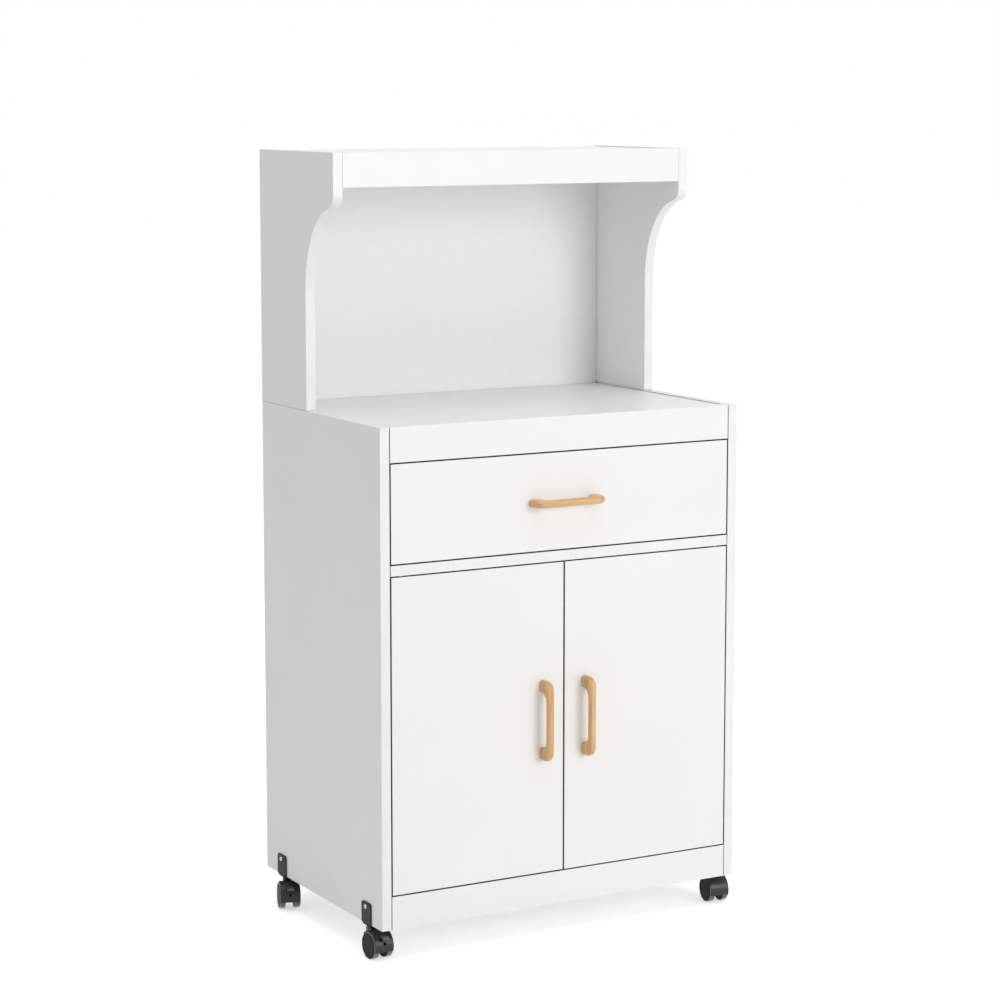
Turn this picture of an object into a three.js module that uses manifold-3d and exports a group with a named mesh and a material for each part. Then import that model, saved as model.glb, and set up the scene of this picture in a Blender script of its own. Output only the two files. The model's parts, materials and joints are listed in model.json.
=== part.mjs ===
// A kitchen microwave cart on four twin-wheel casters: a cupboard with one drawer and two doors,
// a worktop, and a hutch with scroll-cut sides above it.
// Units are millimetres, +Z is up and -Y is the front. The origin is on the floor, in the middle
// of the space that the cart takes up. Inside the cabinet's own group, x = 0 is the middle,
// y = 0 is the front plane and z = 0 is the underside of the side panels.
import * as THREE from "three";
import { mergeVertices } from "three/addons/utils/BufferGeometryUtils.js";
import Module from "manifold-3d";

const wasm = await Module();
wasm.setup();

// ---- Driving dimensions ----------------------------------------------------------------------
// Carcass
const WIDTH = 600;
const DEPTH = 392;
const BOARD = 15;
const SIDE_HEIGHT = 724;
const FLOOR_GAP = 48;
const REVEAL = 2; // the gap round each front
const SEAT = 0.3; // the gap between pieces that touch
const TOP_DROP = 1.5; // worktop and hutch top lie this much under the edges of the sides
const PLINTH_HEIGHT = 48.5;
const DOOR_HEIGHT = 460;
const DRAWER_FRONT_HEIGHT = 142;
const BACK_THICKNESS = 3;
const BACK_INSET = 8;
const GROOVE_DEPTH = 6;
const SHELF_SETBACK = 32;
const SHELF_END_GAP = 1.5;
const SHELF_PIN_RADIUS = 2.5;
const SHELF_PIN_LENGTH = 16;
const SHELF_PIN_INSET = 35;
const REAR_RAIL_THICKNESS = 15;

// Hutch
const HUTCH_HEIGHT = 379;
const HUTCH_DEPTH = 250;
const HUTCH_ARM_DEPTH = 156;
const FASCIA_HEIGHT = 50;
const SCROLL_RISE = 176; // height of the straight arm below the scroll
const SCROLL_HEIGHT = 124;
const SCROLL_DEPTH = 90;
const SCROLL_END_ANGLE = 80; // degrees of the ellipse that the scroll follows
const NOSE_CONTROL_RISE = 303;
const NOSE_TOP_RISE = 318;

// Drawer box and runners
const DRAWER_LENGTH = 330;
const DRAWER_SIDE_HEIGHT = 100;
const DRAWER_WALL = 12;
const DRAWER_SIDE_GAP = 12.5;
const DRAWER_LIFT = 13.5; // drawer box above the divider
const DRAWER_BOTTOM_RISE = 8;
const DRAWER_GROOVE_DEPTH = 5;
const RUNNER_SHEET = 1.2;
const RUNNER_LENGTH = 324;
const RUNNER_OVERRUN = 8; // extra length of the cabinet's runner at the back
const RUNNER_HEIGHT = 37;
const RUNNER_LIP = 4; // inner edge that keeps the drawer's roller on the track
const RUNNER_RISE = 2; // underside of the cabinet's runner above the drawer box's lower edge
const RUNNER_PLAY = 2.1; // between the drawer box and the cabinet's runner
const RUNNER_FOOT = 10.8; // leg of the drawer's runner under the drawer side
const FLANGE_RISE = 21; // outer leg of the drawer's runner above the box's lower edge
const FLANGE_PLAY = 2; // between that leg and the side panel
const ROLLER_RADIUS = 6.5;
const ROLLER_WIDTH = 6.3;
const ROLLER_AXLE_RADIUS = 2;
const ROLLER_AXLE_END = 0.6; // root of the axle inside the runner's sheet
const ROLLER_AXLE_REACH = 1; // end of the axle inside the roller
const FRONT_ROLLER_PLACE = 14; // from the front end of the cabinet's runner
const FRONT_ROLLER_PLAY = 0.4; // between the cabinet runner's lip and its roller
const REAR_ROLLER_PLACE = 12; // from the back end of the drawer's runner
const REAR_ROLLER_OFFSET = 3.7; // from the drawer box

// Doors
const PIVOT_INSET = 18; // pivot pin from the outer edge of the door
const PIN_RADIUS = 2.5;
const PIN_DEPTH = 12;
const PIN_COLLAR_RADIUS = 4.5;
const CATCH_SIZE = [40, 14, 14];
const CATCH_SETBACK = 2.5; // catch behind the backs of the doors

// Bow handles
const HANDLE_LENGTH = 119;
const HANDLE_REACH = 25.5;
const HANDLE_WIDTH = 11;
const HANDLE_FOOT = 18.5;
const HANDLE_BAR = 10;
const HANDLE_OUTER_RADIUS = 15;
const HANDLE_INNER_RADIUS = 14;
const HANDLE_EDGE = 2;
const DOOR_HANDLE_OFFSET = 35.5; // from the middle of the cart
const DOOR_HANDLE_HEIGHT = 279.5;

// Casters
const STEM_INSET = 8.5; // stem from the outer face of the side panel
const STEM_PLACES = { front: 51, rear: 338 }; // from the front plane
const STEM_RADIUS = 3.5;
const STEM_LENGTH = 29;
const TRAIL = 18; // axle ahead of the stem
const WHEEL_RADIUS = 20;
const WHEEL_WIDTH = 9.6;
const WHEEL_SIDES = 24;
const WHEEL_EDGE = 0.8;
const WHEEL_RIM = 2; // the wider bevel round the outer face
const WHEEL_CAP_RADIUS = 14.5;
const WHEEL_CAP_RECESS = 0.8;
const WHEEL_CAP_FLOOR = 2; // material between the cap and the end of the blind bore
const CASTER_WIDTH = 32.5;
const AXLE_RADIUS = 2;
const FENDER_INNER_RADIUS = 20.4;
const FENDER_SHEET = 1.2;
const FENDER_WIDTH = 29.5;
const FENDER_REAR_ANGLE = 40; // degrees, from straight back, up and over
const FENDER_FRONT_ANGLE = 198;
const WEB_WIDTH = 12.4;
const WEB_OVERLAP = 0.2; // web into the fender's sheet
const HUB_RADIUS = 7.5;
const BOSS_RADIUS = 7;
const BOSS_HEIGHT = 9;
const NECK_DROP = 4; // top of the neck under the top of the boss
const STEM_ROOT = 1;
const BRACKET_WIDTH = 29;
const BRACKET_SHIFT = 3; // middle of the plate ahead of the stem
const BRACKET_HEIGHT = 32;
const BRACKET_SHEET = 1.8;
const BRACKET_TONGUE_LENGTH = 16.5;
const BRACKET_TONGUE_HALF_WIDTH = 7;
const BRACKET_CORNER = 5;
const BRACKET_HOLE_RADIUS = 2.3;
const BRACKET_HOLE_DROP = 6.5;
const LEVER_WIDTH = 11;
const LEVER_LENGTH = 12.5;
const LEVER_KNUCKLE_RADIUS = 2;
const LEVER_KNUCKLE_ANGLE = 140; // degrees of the knuckle, up and down from straight back
const LEVER_HALF_SHEET = 1.1;
const LEVER_LIP = 3;
const LEVER_LIP_SHEET = 1.5;
const LEVER_PIVOT = [-30.5, -13]; // y and z in the caster's own group
const POCKET_SIDE_PLAY = 0.6;
const POCKET_BEHIND = 2.5; // from the lever's pivot
const POCKET_ABOVE = 4;
const POCKET_BELOW = 5;
const LOCK_HOLE_SIZE = 4.4;
const LOCK_HOLE_RISE = 3.5; // lower edge above the axle
const SWIVELS = { front_left: 2, front_right: -7, rear_left: -18, rear_right: 18 };

// Facets
const ROD_SIDES = 16;
const PIN_SIDES = 12;
const SCROLL_STEPS = 12;
const FENDER_STEPS = 16;
const HANDLE_STEPS = 5;
const CORNER_STEPS = 4;
const KNUCKLE_STEPS = 8;

// ---- Worked-out places, in the cabinet's own group -------------------------------------------
const INNER = WIDTH / 2 - BOARD;
const FITTED = INNER - SEAT;
const BACK_FACE = DEPTH - BACK_INSET - BACK_THICKNESS;
const FRONTS_HALF_WIDTH = INNER - REVEAL;
const DOOR_BOTTOM = PLINTH_HEIGHT + REVEAL;
const DOOR_TOP = DOOR_BOTTOM + DOOR_HEIGHT;
const DIVIDER_BOTTOM = DOOR_TOP + REVEAL;
const DIVIDER_TOP = DIVIDER_BOTTOM + BOARD;
const DRAWER_BOTTOM = DIVIDER_TOP + REVEAL;
const DRAWER_TOP = DRAWER_BOTTOM + DRAWER_FRONT_HEIGHT;
const BOTTOM_PANEL_UNDERSIDE = PLINTH_HEIGHT - BOARD;
const WORKTOP_TOP = SIDE_HEIGHT - TOP_DROP;
const WORKTOP_UNDERSIDE = WORKTOP_TOP - BOARD;
const BACK_JOINT = WORKTOP_UNDERSIDE + BOARD / 2;
const HUTCH_FRONT = DEPTH - HUTCH_DEPTH;
const HUTCH_TOP = SIDE_HEIGHT + HUTCH_HEIGHT;
const HUTCH_TOP_UNDERSIDE = HUTCH_TOP - TOP_DROP - BOARD;
const SHELF_UNDERSIDE = (PLINTH_HEIGHT + DIVIDER_BOTTOM - BOARD) / 2;
const SHELF_BACK = BACK_FACE - REVEAL;
const PIVOT_X = FRONTS_HALF_WIDTH - PIVOT_INSET;
const PIVOT_Y = BOARD / 2;
const STEM_X = WIDTH / 2 - STEM_INSET;
const AXLE_HEIGHT = WHEEL_RADIUS * Math.cos(Math.PI / WHEEL_SIDES); // flats stand on the floor
const AXLE_Z = AXLE_HEIGHT - FLOOR_GAP;
const SHELF_PIN_PLACES = [SHELF_SETBACK + SHELF_PIN_INSET, SHELF_BACK - SHELF_PIN_INSET];
const FRONT_Y = (HANDLE_REACH + SEAT - DEPTH) / 2;

// ---- Finishes --------------------------------------------------------------------------------
const finish = (color, roughness, metalness = 0) =>
  new THREE.MeshStandardMaterial({ color, roughness, metalness });
const WHITE_BOARD = finish(0xf5f5f3, 0.45);
const WHITE_HARDBOARD = finish(0xebebe9, 0.55);
const BEECH = finish(0xd7a671, 0.5);
const WHITE_STEEL = finish(0xf0f0ee, 0.4, 0.2);
const BRIGHT_STEEL = finish(0xb9bab8, 0.3, 0.9);
const BLACK_STEEL = finish(0x3c3c38, 0.45, 0.3);
const BLACK_PLASTIC = finish(0x292927, 0.4);
const WHEEL_PLASTIC = finish(0x30302e, 0.5);
const CATCH_PLASTIC = finish(0xdededa, 0.5);

// ---- Shape helpers ---------------------------------------------------------------------------
function solidOf(geometry) {
  const bare = geometry.clone();
  bare.deleteAttribute("normal");
  bare.deleteAttribute("uv");
  const merged = mergeVertices(bare, 1e-4);
  return new wasm.Manifold(
    new wasm.Mesh({
      numProp: 3,
      vertProperties: merged.attributes.position.array,
      triVerts: new Uint32Array(merged.index.array),
    }),
  );
}

function geometryOf(solid) {
  const mesh = solid.getMesh();
  const geometry = new THREE.BufferGeometry();
  geometry.setAttribute("position", new THREE.BufferAttribute(mesh.vertProperties, 3));
  geometry.setIndex(new THREE.BufferAttribute(mesh.triVerts, 1));
  geometry.computeVertexNormals();
  return geometry;
}

const joined = (...geometries) =>
  geometryOf(geometries.map(solidOf).reduce((whole, next) => whole.add(next)));

const cut = (geometry, tools) =>
  geometryOf(tools.map(solidOf).reduce((left, tool) => left.subtract(tool), solidOf(geometry)));

// A box from its low and high corner along each axis.
function block([x0, x1], [y0, y1], [z0, z1]) {
  const geometry = new THREE.BoxGeometry(x1 - x0, y1 - y0, z1 - z0);
  return geometry.translate((x0 + x1) / 2, (y0 + y1) / 2, (z0 + z1) / 2);
}

// A round bar along X or Z, from one coordinate to another, at a place across that axis.
function rodAlongX(radius, [x0, x1], y, z, sides = ROD_SIDES) {
  const rod = new THREE.CylinderGeometry(radius, radius, x1 - x0, sides);
  return rod.rotateZ(-Math.PI / 2).translate((x0 + x1) / 2, y, z);
}

function rodAlongZ(radius, [z0, z1], x, y, sides = ROD_SIDES) {
  const rod = new THREE.CylinderGeometry(radius, radius, z1 - z0, sides);
  return rod.rotateX(Math.PI / 2).translate(x, y, (z0 + z1) / 2);
}

// An outline drawn in the YZ plane, thickened along X and centred on x = 0.
function slabAlongX(shape, width, options = {}) {
  const slab = new THREE.ExtrudeGeometry(shape, { depth: width, bevelEnabled: false, ...options });
  const axes = [new THREE.Vector3(0, 1, 0), new THREE.Vector3(0, 0, 1), new THREE.Vector3(1, 0, 0)];
  return slab.translate(0, 0, -width / 2).applyMatrix4(new THREE.Matrix4().makeBasis(...axes));
}

// An outline drawn in the XZ plane, run along Y from one coordinate to another.
function sectionAlongY(points, [y0, y1]) {
  const shape = new THREE.Shape(points.map(([x, z]) => new THREE.Vector2(x, z)));
  const run = new THREE.ExtrudeGeometry(shape, { depth: y1 - y0, bevelEnabled: false });
  return run.rotateX(Math.PI / 2).translate(0, y1, 0);
}

const degrees = (value) => THREE.MathUtils.degToRad(value);

function mesh(name, geometry, material) {
  const made = new THREE.Mesh(geometry, material);
  made.name = name;
  return made;
}

const SIDES = { left: -1, right: 1 };

// The range between two distances from the middle, on one side of the cart.
const span = (side, near, far) => (side < 0 ? [-far, -near] : [near, far]);
const across = (half) => [-half, half];

// ---- Cabinet ---------------------------------------------------------------------------------
const backGroove = (side, [z0, z1]) =>
  block(
    span(side, INNER - GROOVE_DEPTH, INNER + GROOVE_DEPTH),
    [BACK_FACE - SEAT, BACK_FACE + BACK_THICKNESS + SEAT],
    [z0, z1],
  );

function cabinetSide(name, side) {
  const panel = block(span(side, INNER, WIDTH / 2), [0, DEPTH], [0, SIDE_HEIGHT]);
  const sockets = Object.values(STEM_PLACES).map((y) =>
    rodAlongZ(STEM_RADIUS + SEAT, [-BOARD, STEM_LENGTH + SEAT], side * STEM_X, y),
  );
  const pinReach = SHELF_PIN_LENGTH / 2 + SEAT;
  const pinZ = SHELF_UNDERSIDE - SEAT - SHELF_PIN_RADIUS;
  const pinSpan = span(side, INNER - pinReach, INNER + pinReach);
  const pinHoles = SHELF_PIN_PLACES.map((y) =>
    rodAlongX(SHELF_PIN_RADIUS + SEAT, pinSpan, y, pinZ, PIN_SIDES),
  );
  const groove = backGroove(side, [BOTTOM_PANEL_UNDERSIDE - SEAT, SIDE_HEIGHT + BOARD]);
  return mesh(`cabinet_side_${name}`, cut(panel, [groove, ...sockets, ...pinHoles]), WHITE_BOARD);
}

const board = (name, y, z) => mesh(name, block(across(FITTED), y, z), WHITE_BOARD);

function cabinetBoards() {
  const plinth = block(across(FITTED), [0, BOARD], [0, PLINTH_HEIGHT]);
  const divider = block(across(FITTED), [0, BACK_FACE - SEAT], [DIVIDER_BOTTOM, DIVIDER_TOP]);
  const pinBores = (z) => Object.values(SIDES).map((side) => pivotBore(side, z));
  const behindFronts = [BOARD + SEAT, BACK_FACE - SEAT];
  return [
    board("worktop", behindFronts, [WORKTOP_UNDERSIDE, WORKTOP_TOP]),
    board("top_rail", [0, BOARD], [DRAWER_TOP + REVEAL, SIDE_HEIGHT]),
    mesh("divider_panel", cut(divider, pinBores([DIVIDER_BOTTOM - BOARD, pinEnd(1)])), WHITE_BOARD),
    board("bottom_panel", behindFronts, [BOTTOM_PANEL_UNDERSIDE, PLINTH_HEIGHT]),
    mesh("plinth_rail", cut(plinth, pinBores([pinEnd(-1), PLINTH_HEIGHT + BOARD])), WHITE_BOARD),
    board(
      "rear_plinth_rail",
      [DEPTH - BACK_INSET - REAR_RAIL_THICKNESS, DEPTH - BACK_INSET],
      [0, BOTTOM_PANEL_UNDERSIDE - SEAT],
    ),
  ];
}

const backPanel = (name, z) =>
  mesh(
    name,
    block(across(INNER + GROOVE_DEPTH - SEAT), [BACK_FACE, BACK_FACE + BACK_THICKNESS], z),
    WHITE_HARDBOARD,
  );

function innerShelf() {
  const top = SHELF_UNDERSIDE + BOARD;
  const half = INNER - SHELF_END_GAP;
  const shelf = block(across(half), [SHELF_SETBACK, SHELF_BACK], [SHELF_UNDERSIDE, top]);
  return mesh("inner_shelf", shelf, WHITE_BOARD);
}

function shelfPins() {
  const pinZ = SHELF_UNDERSIDE - SEAT - SHELF_PIN_RADIUS;
  const half = SHELF_PIN_LENGTH / 2;
  return Object.entries(SIDES).flatMap(([name, side]) =>
    SHELF_PIN_PLACES.map((y, i) =>
      mesh(
        `shelf_pin_${name}_${i ? "rear" : "front"}`,
        rodAlongX(SHELF_PIN_RADIUS, span(side, INNER - half, INNER + half), y, pinZ, PIN_SIDES),
        BRIGHT_STEEL,
      ),
    ),
  );
}

// ---- Hutch -----------------------------------------------------------------------------------
// Front edge from the foot up: a straight arm, a quarter of an ellipse and a small rounded nose.
function hutchSideOutline() {
  const armFront = DEPTH - HUTCH_ARM_DEPTH;
  const end = degrees(180 - SCROLL_END_ANGLE);
  const outline = new THREE.Shape();
  outline.moveTo(DEPTH, SEAT);
  outline.lineTo(DEPTH, HUTCH_HEIGHT);
  outline.lineTo(HUTCH_FRONT, HUTCH_HEIGHT);
  outline.lineTo(HUTCH_FRONT, NOSE_TOP_RISE);
  outline.quadraticCurveTo(
    HUTCH_FRONT,
    NOSE_CONTROL_RISE,
    armFront - SCROLL_DEPTH - SCROLL_DEPTH * Math.cos(end),
    SCROLL_RISE + SCROLL_HEIGHT * Math.sin(end),
  );
  outline.absellipse(
    armFront - SCROLL_DEPTH,
    SCROLL_RISE,
    SCROLL_DEPTH,
    SCROLL_HEIGHT,
    degrees(SCROLL_END_ANGLE),
    0,
    true,
  );
  outline.lineTo(armFront, SEAT);
  return outline;
}

function hutchSide(name, side) {
  const slab = slabAlongX(hutchSideOutline(), BOARD, { curveSegments: SCROLL_STEPS });
  const panel = slab.translate((side * (WIDTH - BOARD)) / 2, 0, SIDE_HEIGHT);
  const groove = backGroove(side, [SIDE_HEIGHT - BOARD, HUTCH_TOP_UNDERSIDE]);
  return mesh(`hutch_side_${name}`, cut(panel, [groove]), WHITE_BOARD);
}

function hutch() {
  return [
    hutchSide("left", SIDES.left),
    hutchSide("right", SIDES.right),
    board(
      "hutch_top",
      [HUTCH_FRONT + BOARD + SEAT, DEPTH],
      [HUTCH_TOP_UNDERSIDE, HUTCH_TOP - TOP_DROP],
    ),
    board(
      "hutch_fascia",
      [HUTCH_FRONT, HUTCH_FRONT + BOARD],
      [HUTCH_TOP - FASCIA_HEIGHT, HUTCH_TOP],
    ),
    backPanel("hutch_back_panel", [BACK_JOINT + SEAT, HUTCH_TOP_UNDERSIDE - SEAT]),
  ];
}

// ---- Handles ---------------------------------------------------------------------------------
// Side view of a bow handle: x is along the bar and y is away from the front it is screwed to.
function handleOutline() {
  const half = HANDLE_LENGTH / 2;
  const corner = half - HANDLE_OUTER_RADIUS;
  const footEnd = half - HANDLE_FOOT;
  const hollow = footEnd - HANDLE_INNER_RADIUS;
  const under = HANDLE_REACH - HANDLE_BAR;
  const outerCentre = HANDLE_REACH - HANDLE_OUTER_RADIUS;
  const innerCentre = under - HANDLE_INNER_RADIUS;
  const quarter = Math.PI / 2;
  const outline = new THREE.Shape();
  outline.moveTo(footEnd, 0);
  outline.lineTo(half, 0);
  outline.absarc(corner, outerCentre, HANDLE_OUTER_RADIUS, 0, quarter, false);
  outline.absarc(-corner, outerCentre, HANDLE_OUTER_RADIUS, quarter, Math.PI, false);
  outline.lineTo(-half, 0);
  outline.lineTo(-footEnd, 0);
  outline.absarc(-hollow, innerCentre, HANDLE_INNER_RADIUS, Math.PI, quarter, true);
  outline.absarc(hollow, innerCentre, HANDLE_INNER_RADIUS, quarter, 0, true);
  return outline;
}

function handle(name, x, z, upright) {
  const bar = new THREE.ExtrudeGeometry(handleOutline(), {
    depth: HANDLE_WIDTH - 2 * HANDLE_EDGE,
    bevelThickness: HANDLE_EDGE,
    bevelSize: HANDLE_EDGE,
    bevelOffset: -HANDLE_EDGE,
    bevelSegments: 2,
    curveSegments: HANDLE_STEPS,
  });
  bar.translate(0, 0, HANDLE_EDGE - HANDLE_WIDTH / 2).rotateX(Math.PI);
  const made = mesh(name, bar, BEECH);
  made.position.set(x, -SEAT, z);
  made.rotation.y = upright ? Math.PI / 2 : 0;
  return made;
}

// ---- Drawer ----------------------------------------------------------------------------------
const BOX_HALF_WIDTH = INNER - DRAWER_SIDE_GAP;
const BOX_INNER = BOX_HALF_WIDTH - DRAWER_WALL;
const BOX_BOTTOM = DIVIDER_TOP + DRAWER_LIFT;
const BOX_TOP = BOX_BOTTOM + DRAWER_SIDE_HEIGHT;
const BOX_FRONT = BOARD + SEAT;
const BOX_BACK = BOX_FRONT + DRAWER_LENGTH;
const BOX_FLOOR = BOX_BOTTOM + DRAWER_BOTTOM_RISE;
const BOX_FLOOR_TOP = BOX_FLOOR + BACK_THICKNESS;
const FLANGE = BOX_BOTTOM + FLANGE_RISE;
const TRACK = BOX_BOTTOM + RUNNER_RISE + RUNNER_SHEET;

function drawerSide(name, side) {
  const wall = block(
    span(side, BOX_INNER, BOX_HALF_WIDTH),
    [BOX_FRONT, BOX_BACK],
    [BOX_BOTTOM, BOX_TOP],
  );
  const groove = block(
    span(side, BOX_INNER - BOARD, BOX_INNER + DRAWER_GROOVE_DEPTH),
    [BOX_FRONT - BOARD, BOX_BACK + BOARD],
    [BOX_FLOOR - SEAT, BOX_FLOOR_TOP + SEAT],
  );
  return mesh(`drawer_side_${name}`, cut(wall, [groove]), WHITE_BOARD);
}

// The cabinet's runner is a channel with a raised lip and one roller at the front.
function cabinetRunner(name, side) {
  const inner = BOX_HALF_WIDTH + RUNNER_PLAY;
  const outer = INNER - SEAT;
  const low = BOX_BOTTOM + RUNNER_RISE;
  const section = [
    [inner, low],
    [outer, low],
    [outer, low + RUNNER_HEIGHT],
    [outer - RUNNER_SHEET, low + RUNNER_HEIGHT],
    [outer - RUNNER_SHEET, TRACK],
    [inner + RUNNER_SHEET, TRACK],
    [inner + RUNNER_SHEET, low + RUNNER_LIP],
    [inner, low + RUNNER_LIP],
  ];
  const start = BOX_FRONT + RUNNER_SHEET;
  const run = [start, start + RUNNER_LENGTH + RUNNER_OVERRUN];
  const rollerX = inner + RUNNER_SHEET + FRONT_ROLLER_PLAY;
  const geometry = joined(
    sectionAlongY(mirrored(section, side), run),
    ...roller(
      side,
      rollerX,
      [rollerX + ROLLER_AXLE_REACH, outer - ROLLER_AXLE_END],
      start + FRONT_ROLLER_PLACE,
      FLANGE - SEAT - ROLLER_RADIUS,
    ),
  );
  return mesh(`runner_cabinet_${name}`, geometry, WHITE_STEEL);
}

// The drawer's runner wraps the lower edge of the drawer side and has one roller at the back.
function drawerRunner(name, side) {
  const web = BOX_HALF_WIDTH + SEAT;
  const foot = web - RUNNER_FOOT;
  const low = BOX_BOTTOM - SEAT - RUNNER_SHEET;
  const section = [
    [foot, low],
    [web + RUNNER_SHEET, low],
    [web + RUNNER_SHEET, FLANGE],
    [INNER - FLANGE_PLAY, FLANGE],
    [INNER - FLANGE_PLAY, FLANGE + RUNNER_SHEET],
    [web, FLANGE + RUNNER_SHEET],
    [web, low + RUNNER_SHEET],
    [foot, low + RUNNER_SHEET],
  ];
  const start = BOX_FRONT + RUNNER_SHEET;
  const rollerX = BOX_HALF_WIDTH + REAR_ROLLER_OFFSET;
  const geometry = joined(
    sectionAlongY(mirrored(section, side), [start, start + RUNNER_LENGTH]),
    ...roller(
      side,
      rollerX,
      [web + ROLLER_AXLE_END, rollerX + ROLLER_AXLE_REACH],
      start + RUNNER_LENGTH - REAR_ROLLER_PLACE,
      TRACK + SEAT + ROLLER_RADIUS,
    ),
  );
  return mesh(`runner_drawer_${name}`, geometry, WHITE_STEEL);
}

// A roller and the axle that joins it to its runner.
const roller = (side, near, [axleNear, axleFar], y, z) => [
  rodAlongX(ROLLER_RADIUS, span(side, near, near + ROLLER_WIDTH), y, z),
  rodAlongX(ROLLER_AXLE_RADIUS, span(side, axleNear, axleFar), y, z, PIN_SIDES),
];

// A section turned over to the left side keeps its points in counter-clockwise order.
const mirrored = (section, side) =>
  side > 0 ? section : section.map(([x, z]) => [-x, z]).reverse();

function drawer() {
  const group = new THREE.Group();
  const front = block(across(FRONTS_HALF_WIDTH), [0, BOARD], [DRAWER_BOTTOM, DRAWER_TOP]);
  const back = block(
    across(BOX_INNER - SEAT),
    [BOX_BACK - DRAWER_WALL, BOX_BACK],
    [BOX_FLOOR_TOP + SEAT, BOX_TOP],
  );
  const floor = block(
    across(BOX_INNER + DRAWER_GROOVE_DEPTH - SEAT),
    [BOX_FRONT, BOX_BACK],
    [BOX_FLOOR, BOX_FLOOR_TOP],
  );
  group.add(mesh("drawer_front", front, WHITE_BOARD));
  group.add(mesh("drawer_back", back, WHITE_BOARD));
  group.add(mesh("drawer_bottom", floor, WHITE_HARDBOARD));
  group.add(handle("drawer_handle", 0, (DRAWER_BOTTOM + DRAWER_TOP) / 2, false));
  for (const [name, side] of Object.entries(SIDES)) {
    group.add(drawerSide(name, side));
    group.add(drawerRunner(name, side));
  }
  return group;
}

// ---- Doors -----------------------------------------------------------------------------------
// The far end of a pivot pin's bore, above the divider's underside or below the plinth's top.
function pinEnd(up) {
  return up > 0 ? DIVIDER_BOTTOM + PIN_DEPTH + SEAT : PLINTH_HEIGHT - PIN_DEPTH - SEAT;
}

function pivotBore(side, z) {
  return rodAlongZ(PIN_RADIUS + SEAT, z, side * PIVOT_X, PIVOT_Y);
}

function door(name, side) {
  const leaf = block(
    span(side, REVEAL / 2, FRONTS_HALF_WIDTH),
    [0, BOARD],
    [DOOR_BOTTOM, DOOR_TOP],
  );
  const bores = [
    pivotBore(side, [DOOR_BOTTOM - BOARD, DOOR_BOTTOM + PIN_DEPTH + SEAT]),
    pivotBore(side, [DOOR_TOP - PIN_DEPTH - SEAT, DOOR_TOP + BOARD]),
  ];
  const group = new THREE.Group();
  group.add(mesh(`door_${name}`, cut(leaf, bores), WHITE_BOARD));
  group.add(handle(`door_handle_${name}`, side * DOOR_HANDLE_OFFSET, DOOR_HANDLE_HEIGHT, true));
  return group;
}

// A steel pin with a collar that carries the door clear of the board beside it.
function pivotPin(name, side, gapBottom, gapTop) {
  const profile = [
    [0, gapBottom - PIN_DEPTH],
    [PIN_RADIUS, gapBottom - PIN_DEPTH],
    [PIN_RADIUS, gapBottom + SEAT],
    [PIN_COLLAR_RADIUS, gapBottom + SEAT],
    [PIN_COLLAR_RADIUS, gapTop - SEAT],
    [PIN_RADIUS, gapTop - SEAT],
    [PIN_RADIUS, gapTop + PIN_DEPTH],
    [0, gapTop + PIN_DEPTH],
  ];
  const points = profile.map(([r, z]) => new THREE.Vector2(r, z));
  const pin = mesh(name, new THREE.LatheGeometry(points, ROD_SIDES).rotateX(Math.PI / 2), BRIGHT_STEEL);
  pin.position.set(side * PIVOT_X, PIVOT_Y, 0);
  return pin;
}

function pivotPins() {
  return Object.entries(SIDES).flatMap(([name, side]) => [
    pivotPin(`door_pin_${name}_lower`, side, PLINTH_HEIGHT, DOOR_BOTTOM),
    pivotPin(`door_pin_${name}_upper`, side, DOOR_TOP, DIVIDER_BOTTOM),
  ]);
}

function magneticCatch() {
  const [width, depth, height] = CATCH_SIZE;
  const front = BOARD + CATCH_SETBACK;
  const top = DIVIDER_BOTTOM - SEAT;
  const body = block(across(width / 2), [front, front + depth], [top - height, top]);
  return mesh("magnetic_catch", body, CATCH_PLASTIC);
}

// ---- Casters, each in its own group with the stem on the Z axis ------------------------------
// A steel plate on the outer face of the side panel, with a tongue under the panel's lower edge.
function casterBracket(name, side) {
  const front = -BRACKET_SHIFT - BRACKET_WIDTH / 2;
  const back = front + BRACKET_WIDTH;
  const arcHeight = BRACKET_HEIGHT - BRACKET_CORNER;
  const quarter = Math.PI / 2;
  const outline = new THREE.Shape();
  outline.moveTo(front, SEAT);
  outline.lineTo(-BRACKET_TONGUE_HALF_WIDTH, SEAT);
  outline.lineTo(-BRACKET_TONGUE_HALF_WIDTH, -SEAT - BRACKET_SHEET);
  outline.lineTo(BRACKET_TONGUE_HALF_WIDTH, -SEAT - BRACKET_SHEET);
  outline.lineTo(BRACKET_TONGUE_HALF_WIDTH, SEAT);
  outline.lineTo(back, SEAT);
  outline.absarc(back - BRACKET_CORNER, arcHeight, BRACKET_CORNER, 0, quarter, false);
  outline.absarc(front + BRACKET_CORNER, arcHeight, BRACKET_CORNER, quarter, Math.PI, false);
  const outer = STEM_INSET + SEAT + BRACKET_SHEET;
  const upright = slabAlongX(outline, BRACKET_SHEET, { curveSegments: CORNER_STEPS });
  upright.translate(side * (outer - BRACKET_SHEET / 2), 0, 0);
  const tongue = block(
    span(side, outer - BRACKET_TONGUE_LENGTH, outer),
    across(BRACKET_TONGUE_HALF_WIDTH),
    [-SEAT - BRACKET_SHEET, -SEAT],
  );
  const holeSpan = span(side, outer - BOARD, outer + BOARD);
  const holeZ = BRACKET_HEIGHT - BRACKET_HOLE_DROP;
  const holes = [
    rodAlongZ(STEM_RADIUS + SEAT, across(BOARD), 0, 0),
    rodAlongX(BRACKET_HOLE_RADIUS, holeSpan, -BRACKET_SHIFT, holeZ, PIN_SIDES),
  ];
  return mesh(`caster_bracket_${name}`, cut(joined(upright, tongue), holes), BLACK_STEEL);
}

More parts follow.
